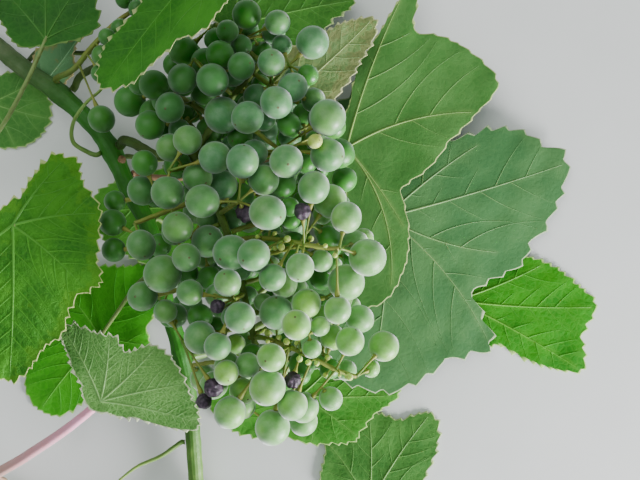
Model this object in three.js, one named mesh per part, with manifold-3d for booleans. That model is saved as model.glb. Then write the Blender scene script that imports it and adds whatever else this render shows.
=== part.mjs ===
// A cut length of grapevine shoot with a hanging bunch of unripe grapes, laid down flat.
// Millimetres, +Z up. The shoot, side shoots, leaf stalks, bunch stalk and tendrils are tapering
// limbs; each leaf is a thin bent blade fused to its stalk; the grapes are fused to their branchlets.

import * as THREE from 'three';
import { mergeVertices } from 'three/addons/utils/BufferGeometryUtils.js';
import Module from 'manifold-3d';

const wasm = await Module();
wasm.setup();

// Driving dimensions
const SHOOT_RADIUS = 4.3;            // main shoot at its thick cut end
const SHOOT_TIP_RADIUS = 3.3;        // main shoot at its thin cut end
const SIDE_SHOOT_RADIUS = 2.1;
const STALK_RADIUS = 2.2;            // bunch stalk where it leaves the shoot
const STALK_TIP_RADIUS = 1.1;
const SHOULDER_RADIUS = 1.5;         // the stalk's upper arm
const LEAF_STALK_RADIUS = 1.3;
const TENDRIL_RADIUS = 1.1;
const BRANCHLET_RADIUS = 1.0;        // side branch of the bunch stalk
const PEDICEL_RADIUS = 0.75;         // the short stalk of one grape
const SECOND_STALK_RADIUS = 1.4;     // stalk of the second bunch
const NODE_SWELLING = 0.8;           // how much thicker the main shoot is at a node
const NODE_REACH = 0.018;            // how far a swelling runs, as a share of the shoot
const BIG_BLADE_THICKNESS = 1.8;
const STALK_SUNK = 1.5;              // how far a leaf stalk runs on under its blade
const GAP = 0.35;                    // clearance between neighbouring solids
const ROOT_LEAD = 2;                 // how far a side limb goes straight out from its root

// A blade is a disc of rings and segments, bent to its margin
const BLADE_SEGMENTS = 30;
const SMALL_BLADE_SEGMENTS = 22;
const SMALL_BLADE_SIZE = 55;
const BLADE_RINGS = [0, 0.6, 1];
const LEAST_REACH = 2;
const RIPPLES = 5;

// The bunch is measured as it lines up, from VIEW_HEIGHT straight above the ground,
// on the level plane through its stalk
const VIEW_HEIGHT = 415.6;
const STALK_PLANE = 60;
const BUNCH_TOP = [-31, 88];
const BUNCH_TIP = [-21, -80];
const BUNCH_HALF_WIDTH = 52;
const BUNCH_WIDEST = 0.5;            // share of the length from the top to the widest level
const BUNCH_SPAN = 0.55;             // share of the length from there to either end
const BUNCH_DEPTH_SHARE = 0.7;       // half depth over half width
const LOWEST_GRAPE = 22;             // least height of a grape's underside
const LOWERING_STEPS = 40;           // one millimetre each
const FILL_GRAPES = 34;
const ROUND_GRAPES = 22;             // the foremost grapes, which get the rounder shape
const FILL_TRIES = 2600;
const FILL_SMALLEST = 4.6;
const FILL_LARGEST = 6.2;
const SHOULDER_BRANCHLETS = 6;
const STALK_BRANCHLETS = 22;
const BRANCHLET_REACH = 0.62;        // share of the bunch's half width
const SHORTEST_BRANCHLET = 5;
const BRANCHLET_FLATTENING = 0.8;    // rise of a branchlet over its run sideways
const NEAREST_WAYS = 24;             // branchlet points tried for each grape
const GOLDEN_ANGLE = 2.39996;
const SEED = 20261;

// The second bunch
const SECOND_FILL = 9;
const SECOND_TRIES = 600;
const SECOND_SPREAD = 15;            // how far its grapes stand from its stalk
const SECOND_SMALLEST = 3.6;
const SECOND_LARGEST = 4.8;
const SECOND_LEFT = -88;             // limits in which its filling grapes stay
const SECOND_RIGHT = -52;
const SECOND_FRONT = 78;
const SECOND_BACK = 112;

// Places the box so that its underside's middle is the origin
const CENTRE_X = -24.72;
const CENTRE_Y = -2.47;

const colours = {
  shoot: 0x4c6a2c,
  youngShoot: 0x6a8a3c,
  stalk: 0x56602a,
  tendril: 0x7f9a50,
  grape: 0x6f9e78,
  darkLeaf: 0x2f6b1c,
  midLeaf: 0x5c9650,
  brightLeaf: 0x4c9a1e,
  greyLeaf: 0x84a66a,
};

function finish(colour, roughness) {
  return new THREE.MeshStandardMaterial({ color: colour, roughness, metalness: 0 });
}

// Solids and meshes

function solidOf(geometry) {
  geometry.deleteAttribute('normal');
  geometry.deleteAttribute('uv');
  const merged = mergeVertices(geometry, 1e-4);
  return new wasm.Manifold(new wasm.Mesh({
    numProp: 3,
    vertProperties: new Float32Array(merged.attributes.position.array),
    triVerts: new Uint32Array(merged.index.array),
  }));
}

function meshOf(name, solid, material) {
  const data = solid.getMesh();
  const geometry = new THREE.BufferGeometry();
  geometry.setAttribute('position', new THREE.BufferAttribute(data.vertProperties, 3));
  geometry.setIndex(new THREE.BufferAttribute(data.triVerts, 1));
  geometry.computeVertexNormals();
  const mesh = new THREE.Mesh(geometry, material);
  mesh.name = name;
  return mesh;
}

function joined(solids) {
  return solids.reduce((sum, solid) => sum.add(solid));
}

// Limbs: a cylinder bent along a curve, with its radius given along the way

function curveThrough(points) {
  return new THREE.CatmullRomCurve3(points.map((p) => new THREE.Vector3(...p)), false, 'catmullrom');
}

function limb(points, radiusAt, sides, steps) {
  const curve = curveThrough(points);
  const geometry = new THREE.CylinderGeometry(1, 1, 1, sides, steps);
  const position = geometry.attributes.position;
  const up = new THREE.Vector3(0, 0, 1);
  for (let i = 0; i < position.count; i += 1) {
    const along = position.getY(i) + 0.5;
    const centre = curve.getPointAt(along);
    const forward = curve.getTangentAt(along);
    const side = new THREE.Vector3().crossVectors(forward, up).normalize();
    const rise = new THREE.Vector3().crossVectors(side, forward);
    const radius = radiusAt(along);
    centre.addScaledVector(side, position.getX(i) * radius);
    centre.addScaledVector(rise, position.getZ(i) * radius);
    position.setXYZ(i, centre.x, centre.y, centre.z);
  }
  return solidOf(geometry);
}

// Root of a limb that leaves another one, just clear of its skin on the side that the way points
// to; a share of 1 carries straight on from its tip. The second point leads straight out.
function rootOn(carrier, share, way) {
  const curve = curveThrough(carrier.path);
  const centre = curve.getPointAt(share);
  const forward = curve.getTangentAt(share);
  const out = new THREE.Vector3(...way);
  if (share === 1) {
    const tip = centre.clone().addScaledVector(forward, GAP);
    return [tip.toArray(), tip.clone().addScaledVector(forward, ROOT_LEAD).toArray()];
  }
  out.addScaledVector(forward, -out.dot(forward)).normalize();
  const start = centre.addScaledVector(out, carrier.radiusAt(share) + GAP);
  return [start.toArray(), start.clone().addScaledVector(out, ROOT_LEAD).toArray()];
}

function taper(from, to) {
  return (along) => from + (to - from) * along;
}

// A taper that swells at each node of the shoot
function jointedTaper(from, to, nodes, swelling, reach) {
  return (along) => {
    let radius = from + (to - from) * along;
    for (const node of nodes) {
      radius += swelling * Math.exp(-(((along - node) / reach) ** 2));
    }
    return radius;
  };
}

// Sets a shape turned round the Y axis on the line between two points
function stoodBetween(geometry, from, to) {
  const start = new THREE.Vector3(...from);
  const turn = new THREE.Quaternion();
  turn.setFromUnitVectors(new THREE.Vector3(0, 1, 0), new THREE.Vector3(...to).sub(start).normalize());
  geometry.applyQuaternion(turn);
  geometry.translate(start.x, start.y, start.z);
  return solidOf(geometry);
}

// A straight thin rod between two points
function rod(from, to, radius, sides) {
  const length = distance(from, to);
  const geometry = new THREE.CylinderGeometry(radius, radius, length, sides);
  geometry.translate(0, length / 2, 0);
  return stoodBetween(geometry, from, to);
}

// A grape and its pedicel are one turned shape; a plain one, of which little shows, has fewer faces
function grapeSolid(grape, foot) {
  const sides = grape.plain ? 5 : 7;
  const bands = grape.plain ? 3 : 5;
  const length = distance(foot, grape.centre);
  const neck = Math.asin(PEDICEL_RADIUS / grape.radius);
  const profile = [new THREE.Vector2(0, 0), new THREE.Vector2(PEDICEL_RADIUS, 0)];
  for (let i = 0; i < bands; i += 1) {
    const angle = neck + (Math.PI - neck) * i / bands;
    profile.push(new THREE.Vector2(grape.radius * Math.sin(angle), length - grape.radius * Math.cos(angle)));
  }
  profile.push(new THREE.Vector2(0, length + grape.radius));
  return stoodBetween(new THREE.LatheGeometry(profile, sides), foot, grape.centre);
}

// Leaves

// Reach of the margin from the stalk's foot in a given direction: a smooth closed curve
// through the tips and notches, each an angle in degrees and a reach
function marginReach(margin, degrees) {
  const sorted = [...margin].sort((a, b) => a[0] - b[0]);
  const count = sorted.length;
  let turned = degrees;
  while (turned < sorted[0][0]) {
    turned += 360;
  }
  while (turned >= sorted[0][0] + 360) {
    turned -= 360;
  }
  let index = 0;
  while (index < count - 1 && sorted[index + 1][0] <= turned) {
    index += 1;
  }
  const reachOf = (k) => sorted[(k + count) % count][1];
  const next = index + 1 < count ? sorted[index + 1][0] : sorted[0][0] + 360;
  const t = (turned - sorted[index][0]) / (next - sorted[index][0]);
  const [a, b, c, d] = [reachOf(index - 1), reachOf(index), reachOf(index + 1), reachOf(index + 2)];
  const m = (c - a) / 2;
  const n = (d - b) / 2;
  const cubic = (2 * b - 2 * c + m + n) * t ** 3 + (-3 * b + 3 * c - 2 * m - n) * t ** 2 + m * t + b;
  return Math.max(cubic, LEAST_REACH);
}

// Height of the blade's underside over the ground at a place measured from the stalk's foot
function bladeHeight(leaf, x, y) {
  const [slopeX, slopeY] = leaf.slope;
  const far = Math.hypot(x, y) / leaf.size;
  const fold = leaf.fold ?? 0;
  const across = fold === 0 ? 0 : Math.max(0, x * leaf.foldSide[0] + y * leaf.foldSide[1]);
  const ripple = leaf.ripple * far * far * Math.sin(RIPPLES * Math.atan2(y, x) + leaf.phase);
  const height = leaf.foot[2] + slopeX * x + slopeY * y + leaf.cup * far * far + fold * across + ripple;
  return Math.max(height, 0);
}

function blade(leaf) {
  const under = BLADE_RINGS.map((ring) => new THREE.Vector2(ring, 0));
  const over = [...BLADE_RINGS].reverse().map((ring) => new THREE.Vector2(ring, 1));
  const segments = leaf.size > SMALL_BLADE_SIZE ? BLADE_SEGMENTS : SMALL_BLADE_SEGMENTS;
  const geometry = new THREE.LatheGeometry([...under, ...over], segments);
  const position = geometry.attributes.position;
  for (let i = 0; i < position.count; i += 1) {
    const ring = Math.hypot(position.getX(i), position.getZ(i));
    const angle = Math.atan2(-position.getZ(i), position.getX(i));
    const reach = ring * marginReach(leaf.margin, THREE.MathUtils.radToDeg(angle));
    const x = reach * Math.cos(angle);
    const y = reach * Math.sin(angle);
    const z = bladeHeight(leaf, x, y) + position.getY(i) * leaf.thickness;
    position.setXYZ(i, leaf.foot[0] + x, leaf.foot[1] + y, z);
  }
  return solidOf(geometry);
}

// The leaf's stalk runs from its root through the given points and sinks into the blade's foot
function leafSolid(leaf) {
  const [x, y, z] = leaf.foot;
  const thick = leaf.stalkRadius ?? LEAF_STALK_RADIUS;
  const last = leaf.stalk[leaf.stalk.length - 1];
  const inward = Math.hypot(x - last[0], y - last[1]);
  const height = Math.max(z + leaf.thickness / 2, thick);
  const beyond = STALK_SUNK / inward;
  const sunk = [x + (x - last[0]) * beyond, y + (y - last[1]) * beyond, height];
  const path = [...rootOn(...leaf.root), ...leaf.stalk, sunk];
  const stalk = limb(path, taper(thick * 1.1, thick * 0.85), 5, path.length + 3);
  return blade(leaf).add(stalk);
}

// Shoots

const mainShootPath = [
  [-175, 108, 4.7], [-155, 94, 6.5], [-132, 76, 11], [-117.5, 66, 15], [-96.5, 45.5, 19],
  [-84.5, 21.5, 21], [-77, 8, 21], [-72, -9, 20], [-69, -27, 19], [-62.5, -50, 16.5],
  [-59, -72, 13.5], [-57, -108, 7.5], [-55.5, -134, 4.1],
];
const mainShootNodes = [0.05, 0.249, 0.377, 0.705, 0.957];
const mainShootLimb = {
  path: mainShootPath,
  radiusAt: jointedTaper(SHOOT_RADIUS, SHOOT_TIP_RADIUS, mainShootNodes, NODE_SWELLING, NODE_REACH),
};
const leftShootLimb = {
  path: [...rootOn(mainShootLimb, 0.05, [-0.3, -1, -0.1]), [-167, 70, 4.5], [-167, 40, 6], [-163, 10, 9],
    [-158, -10, 12]],
  radiusAt: taper(SIDE_SHOOT_RADIUS, 1.5),
};
const hiddenShootLimb = {
  path: [...rootOn(mainShootLimb, 0.72, [1, 0, -0.9]), [-48, -50, 6], [-25, -38, 4.2], [-4, -25, 4]],
  radiusAt: taper(SIDE_SHOOT_RADIUS, 1.4),
};
const lowerShootLimb = {
  path: [...rootOn(mainShootLimb, 0.957, [-1, 0, 0]), [-85, -132, 4.4], [-122, -126, 4.6], [-150, -111, 6]],
  radiusAt: taper(SIDE_SHOOT_RADIUS, 1.6),
};

function mainShoot() {
  const stem = limb(mainShootLimb.path, mainShootLimb.radiusAt, 8, 30);
  const bud = new THREE.SphereGeometry(1, 6, 4);
  bud.scale(2.4, 3.6, 2.4);
  bud.translate(-88.4, 36, 22);
  return stem.add(solidOf(bud));
}

// Bunch stalk

const bunchStalkPath = [
  ...rootOn(mainShootLimb, 0.377, [0.8, 0.5, 0.6]),
  [-85, 43.2, 30], [-80, 41.5, 36], [-74, 38.4, 42], [-66, 34.5, 50], [-58, 35.4, 57],
  [-51, 34, 60], [-42, 16, 60], [-34, -8, 60], [-28, -32, 60], [-23, -58, 60],
];
const bunchStalkLimb = { path: bunchStalkPath, radiusAt: taper(STALK_RADIUS, STALK_TIP_RADIUS) };
const shoulderPath = [[-51, 33, 60], [-44, 44, 61], [-37, 54, 63], [-23, 71, 62]];
const shoulderLimb = { path: shoulderPath, radiusAt: taper(SHOULDER_RADIUS, STALK_TIP_RADIUS) };

// Two long side branches reach the face of the bunch and show between the grapes
const faceBranches = [
  [...rootOn(bunchStalkLimb, 0.62, [1, 0.2, 0.8]),
    [-25, 0.8, 74], [-14, 0, 83], [-6, -1.5, 87], [4, -3.2, 88], [7, -3, 88]],
  [...rootOn(bunchStalkLimb, 0.875, [0.6, 0, 0.8]),
    [-21, -38.5, 69], [-12, -41, 74], [-3, -45, 75], [6, -50, 73], [14, -53, 70]],
];

function bunchStalk() {
  const main = limb(bunchStalkLimb.path, bunchStalkLimb.radiusAt, 6, 24);
  const shoulder = limb(shoulderLimb.path, shoulderLimb.radiusAt, 5, 7);
  return main.add(shoulder);
}

// Grapes on the face of the bunch, the foremost first: x, y and width on the stalk's plane
const faceGrapes = [
  [-17.5, 55, 13], [-19.5, 71, 11], [-29, 49, 13], [-31.5, 69.5, 11], [3, 49, 14.5], [-2, 39.5, 6],
  [-43, 64, 13], [-55, 64.5, 12], [-31, 31.5, 13.5], [-13.5, 31.5, 13.5], [-42, 33, 13], [3, 34, 13.5],
  [-21, 11, 14.5], [-47, 15.5, 13.5], [-61, 19, 13], [10.5, 9, 12.5], [4, 15.5, 13.5], [-26.5, -6, 13],
  [-35.5, -5, 14.5], [-45, -0.5, 13], [-57, 5, 12.5], [-63, -13.5, 15], [-53.5, -7, 11.5], [-71.5, -2, 12],
  [-71, -22.5, 12], [-37, -17, 11], [-19, -15, 11], [-8, -11, 11.5], [19, -7, 15], [10.5, -17, 14.5],
  [-9.5, -34, 12], [-5.5, -25.5, 12], [-17.5, -29, 13.5], [-32, -31, 12.5], [7, -28, 11], [-41, -42.5, 11],
  [-37.5, -53, 10], [-19.5, -47, 11.5], [-29, -50, 10], [12, -40.5, 11.5], [25.5, -42.5, 12],
  [-21, -59, 14.5],
  [-11, -66, 12], [-36, -69, 13], [-19, -75, 14], [-6.5, -67, 12], [-7, 11.5, 7], [-41, -26.5, 6],
  [-42.5, -59, 8], [-46.5, -64.5, 6.5], [-11, -56, 7], [-17, 87, 10], [-3, 79, 13], [-37, 83.5, 9],
  [-11, 61, 12], [-39, 50, 14.5], [-60, 53, 12], [-53, 40, 11.5], [-60, 37, 11], [-49, 25, 12],
  [-39, 22, 12], [-22.5, 24, 12], [-2.5, 21, 13], [-48, -39, 13], [20.5, -51.5, 7], [-52, -21, 10.5],
  [5, -39, 10], [-31, -60.5, 10.5], [14, -1.5, 11],
];

// Grapes that hang lower, on the side next to the shoot: x, y, width and height
const lowGrapes = [
  [-83, 7, 10.5, 42], [-82.5, -4, 9.5, 42], [-82, 15.5, 8.5, 36], [-76, 55.5, 12.5, 44], [-67, 51, 10.5, 48],
];

function seenFromAbove(x, y, z) {
  const share = (VIEW_HEIGHT - z) / (VIEW_HEIGHT - STALK_PLANE);
  return [x * share, y * share, z];
}

// Share of the way out from the bunch's middle line, and the half width there
function acrossBunch(x, y) {
  const length = Math.hypot(BUNCH_TIP[0] - BUNCH_TOP[0], BUNCH_TIP[1] - BUNCH_TOP[1]);
  const alongX = (BUNCH_TIP[0] - BUNCH_TOP[0]) / length;
  const alongY = (BUNCH_TIP[1] - BUNCH_TOP[1]) / length;
  const along = ((x - BUNCH_TOP[0]) * alongX + (y - BUNCH_TOP[1]) * alongY) / length;
  const off = Math.abs((x - BUNCH_TOP[0]) * alongY - (y - BUNCH_TOP[1]) * alongX);
  const level = Math.max(0, 1 - ((along - BUNCH_WIDEST) / BUNCH_SPAN) ** 2);
  const halfWidth = BUNCH_HALF_WIDTH * Math.sqrt(level);
  return { halfWidth, share: off / Math.max(halfWidth, 1) };
}

function domeHeight(x, y) {
  const { halfWidth, share } = acrossBunch(x, y);
  return BUNCH_DEPTH_SHARE * halfWidth * Math.sqrt(Math.max(0, 1 - share * share));
}

function distance(a, b) {
  return Math.hypot(a[0] - b[0], a[1] - b[1], a[2] - b[2]);
}

function between(a, b, t) {
  return [a[0] + (b[0] - a[0]) * t, a[1] + (b[1] - a[1]) * t, a[2] + (b[2] - a[2]) * t];
}

function dot(a, b) {
  return a[0] * b[0] + a[1] * b[1] + a[2] * b[2];
}

function minus(a, b) {
  return [a[0] - b[0], a[1] - b[1], a[2] - b[2]];
}

function pointToRod(point, from, to) {
  const line = minus(to, from);
  const t = dot(minus(point, from), line) / Math.max(dot(line, line), 1e-9);
  return distance(point, between(from, to, Math.min(1, Math.max(0, t))));
}

// Least distance of two rods, by samples along the first
function rodToRod(a, b, c, d) {
  const samples = 16;
  let least = Infinity;
  for (let i = 0; i <= samples; i += 1) {
    least = Math.min(least, pointToRod(between(a, b, i / samples), c, d));
  }
  return least;
}

// A grape is lifted along its sight line to the dome, then lowered until it clears those before it
function restingPlace(x, y, width, placed) {
  let z = STALK_PLANE + domeHeight(x, y);
  for (let pass = 0; pass < LOWERING_STEPS; pass += 1) {
    const centre = seenFromAbove(x, y, z);
    const radius = seenFromAbove(width / 2, 0, z)[0];
    const blocked = placed.some((grape) => distance(grape.centre, centre) < grape.radius + radius + GAP);
    if (!blocked) {
      return { centre, radius };
    }
    z -= 1;
  }
  return null;
}

function crossesAnyGrape(from, to, radius, grapes, own) {
  return grapes.some((grape) => grape !== own
    && pointToRod(grape.centre, from, to) < grape.radius + radius + GAP);
}

function crossesOtherRod(from, to, radius, rods, branch) {
  return rods.some((other) => other.branch !== branch
    && rodToRod(from, to, other.from, other.to) < other.radius + radius + 2 * GAP);
}

function curvePoints(points, count) {
  const curve = curveThrough(points);
  const list = [];
  for (let i = 0; i <= count; i += 1) {
    const p = curve.getPoint(i / count);
    list.push([p.x, p.y, p.z]);
  }
  return list;
}

function pathRods(points, count, radius, branch) {
  const line = curvePoints(points, count);
  return line.slice(1).map((to, i) => ({ from: line[i], to, radius, branch }));
}

function leafStalkRods(leaf) {
  const path = [...rootOn(...leaf.root), ...leaf.stalk, leaf.foot];
  return pathRods(path, 12, leaf.stalkRadius ?? LEAF_STALK_RADIUS, 'leaf');
}

// Grows the bunch: grapes of the face, branchlets at the golden angle, pedicels, then the fill
function growBunch() {
  const grapes = [];
  for (const [x, y, width] of faceGrapes) {
    const place = restingPlace(x, y, width, grapes);
    if (place) {
      place.plain = grapes.length >= ROUND_GRAPES;
      grapes.push(place);
    }
  }
  for (const [x, y, width, z] of lowGrapes) {
    grapes.push({ centre: seenFromAbove(x, y, z), radius: seenFromAbove(width / 2, 0, z)[0], plain: true });
  }
  const rods = [
    ...pathRods(mainShootLimb.path, 24, SHOOT_RADIUS + NODE_SWELLING, 'shoot'),
    ...pathRods(bunchStalkLimb.path, 24, STALK_RADIUS, 'stalk'),
    ...pathRods(shoulderLimb.path, 8, SHOULDER_RADIUS, 'stalk'),
    ...Object.values(leaves).flatMap((leaf) => leafStalkRods(leaf)),
  ];
  const branches = [];
  faceBranches.forEach((path, i) => {
    const line = curvePoints(path, 12);
    branches.push({ line, path });
    rods.push(...pathRods(path, 12, BRANCHLET_RADIUS, i));
  });
  growBranchlets(grapes, rods, branches);
  const hung = [];
  for (const grape of grapes) {
    if (hangGrape(grape, grapes, rods, branches)) {
      hung.push(grape);
    }
  }
  fillBunch(hung, rods, branches);
  return { grapes: hung, rods, branches };
}

// Branchlets leave the shoulder and the stalk by turns of the golden angle, as long as they find room
function growBranchlets(grapes, rods, branches) {
  const others = rods.filter((r) => r.branch !== 'stalk');
  const stalks = rods.filter((r) => r.branch === 'stalk');
  for (let i = 0; i < SHOULDER_BRANCHLETS + STALK_BRANCHLETS; i += 1) {
    const onShoulder = i < SHOULDER_BRANCHLETS;
    const carrier = onShoulder ? shoulderLimb : bunchStalkLimb;
    const share = onShoulder
      ? 1 - 0.75 * i / SHOULDER_BRANCHLETS
      : 0.39 + 0.6 * (i - SHOULDER_BRANCHLETS + 0.5) / STALK_BRANCHLETS;
    const curve = curveThrough(carrier.path);
    const place = curve.getPointAt(share);
    const forward = curve.getTangentAt(share);
    const turn = i * GOLDEN_ANGLE;
    const flat = Math.hypot(forward.x, forward.y);
    const aside = Math.cos(turn) / flat;
    const way = [-forward.y * aside, forward.x * aside, BRANCHLET_FLATTENING * Math.sin(turn)];
    const from = rootOn(carrier, Math.min(share, 0.99), way)[0];
    const { halfWidth } = acrossBunch(place.x, place.y);
    for (let length = BRANCHLET_REACH * halfWidth; length > SHORTEST_BRANCHLET; length -= 2) {
      const to = [from[0] + way[0] * length, from[1] + way[1] * length, from[2] + way[2] * length];
      const branch = branches.length;
      if (!crossesAnyGrape(from, to, BRANCHLET_RADIUS, grapes, null)
        && !crossesOtherRod(from, to, BRANCHLET_RADIUS, others, branch)
        && !crossesOtherRod(between(from, to, 0.3), to, BRANCHLET_RADIUS, stalks, branch)) {
        branches.push({ line: [from, between(from, to, 0.5), to] });
        const grown = { from, to, radius: BRANCHLET_RADIUS, branch };
        rods.push(grown);
        others.push(grown);
        break;
      }
    }
  }
}

// Finds the nearest clear straight way from a grape to a branchlet
function hangGrape(grape, grapes, rods, branches) {
  const ways = [];
  branches.forEach((entry, branch) => {
    entry.line.slice(1).forEach((point) => {
      ways.push({ point, branch, length: distance(point, grape.centre) });
    });
  });
  ways.sort((a, b) => a.length - b.length);
  for (const way of ways.slice(0, NEAREST_WAYS)) {
    const clear = !crossesAnyGrape(way.point, grape.centre, PEDICEL_RADIUS, grapes, grape)
      && !crossesOtherRod(way.point, grape.centre, PEDICEL_RADIUS, rods, way.branch);
    const others = rods.filter((r) => r.branch !== way.branch);
    const roomy = !others.some((r) => pointToRod(grape.centre, r.from, r.to) < r.radius + grape.radius + GAP);
    if (clear && roomy) {
      grape.branch = way.branch;
      grape.foot = way.point;
      rods.push({ from: way.point, to: grape.centre, radius: PEDICEL_RADIUS, branch: way.branch });
      return true;
    }
  }
  return false;
}

// A small repeatable random sequence from 0 to 1
function randomFrom(seed) {
  let state = seed;
  return () => {
    state = (state * 16807) % 2147483647;
    return state / 2147483647;
  };
}

function fillBunch(grapes, rods, branches) {
  const random = randomFrom(SEED);
  const wanted = grapes.length + FILL_GRAPES;
  for (let i = 0; i < FILL_TRIES && grapes.length < wanted; i += 1) {
    const along = random();
    const side = 2 * random() - 1;
    const turn = 2 * Math.PI * random();
    const radius = FILL_SMALLEST + (FILL_LARGEST - FILL_SMALLEST) * random();
    const x0 = BUNCH_TOP[0] + (BUNCH_TIP[0] - BUNCH_TOP[0]) * along;
    const y0 = BUNCH_TOP[1] + (BUNCH_TIP[1] - BUNCH_TOP[1]) * along;
    const { halfWidth } = acrossBunch(x0, y0);
    const reach = Math.sqrt(Math.abs(side)) * Math.max(0, halfWidth - radius);
    const x = x0 + reach * Math.cos(turn);
    const z = STALK_PLANE + BUNCH_DEPTH_SHARE * reach * Math.sin(turn);
    const centre = [x, y0, Math.max(z, LOWEST_GRAPE + radius)];
    const grape = { centre, radius, plain: true };
    const blocked = grapes.some((other) => distance(other.centre, centre) < other.radius + radius + GAP)
      || rods.some((r) => pointToRod(centre, r.from, r.to) < r.radius + radius + GAP);
    if (!blocked && hangGrape(grape, grapes, rods, branches)) {
      grapes.push(grape);
    }
  }
}

// Adds a mesh for each branchlet that carries grapes
function bunchBranches(group, bunch) {
  let number = 0;
  bunch.branches.forEach((entry, branch) => {
    const own = bunch.grapes.filter((grape) => grape.branch === branch);
    if (own.length === 0) {
      return;
    }
    number += 1;
    const solids = [entry.path
      ? limb(entry.path, taper(BRANCHLET_RADIUS, BRANCHLET_RADIUS * 0.8), 5, 12)
      : rod(entry.line[0], entry.line[2], BRANCHLET_RADIUS, 5)];
    for (const grape of own) {
      solids.push(grapeSolid(grape, grape.foot));
    }
    const name = `bunch_branch_${String(number).padStart(2, '0')}`;
    group.add(meshOf(name, joined(solids), finish(colours.grape, 0.5)));
  });
}

// Leaves: foot where the blade meets its stalk, margin as angle and reach, then how it lies

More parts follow.
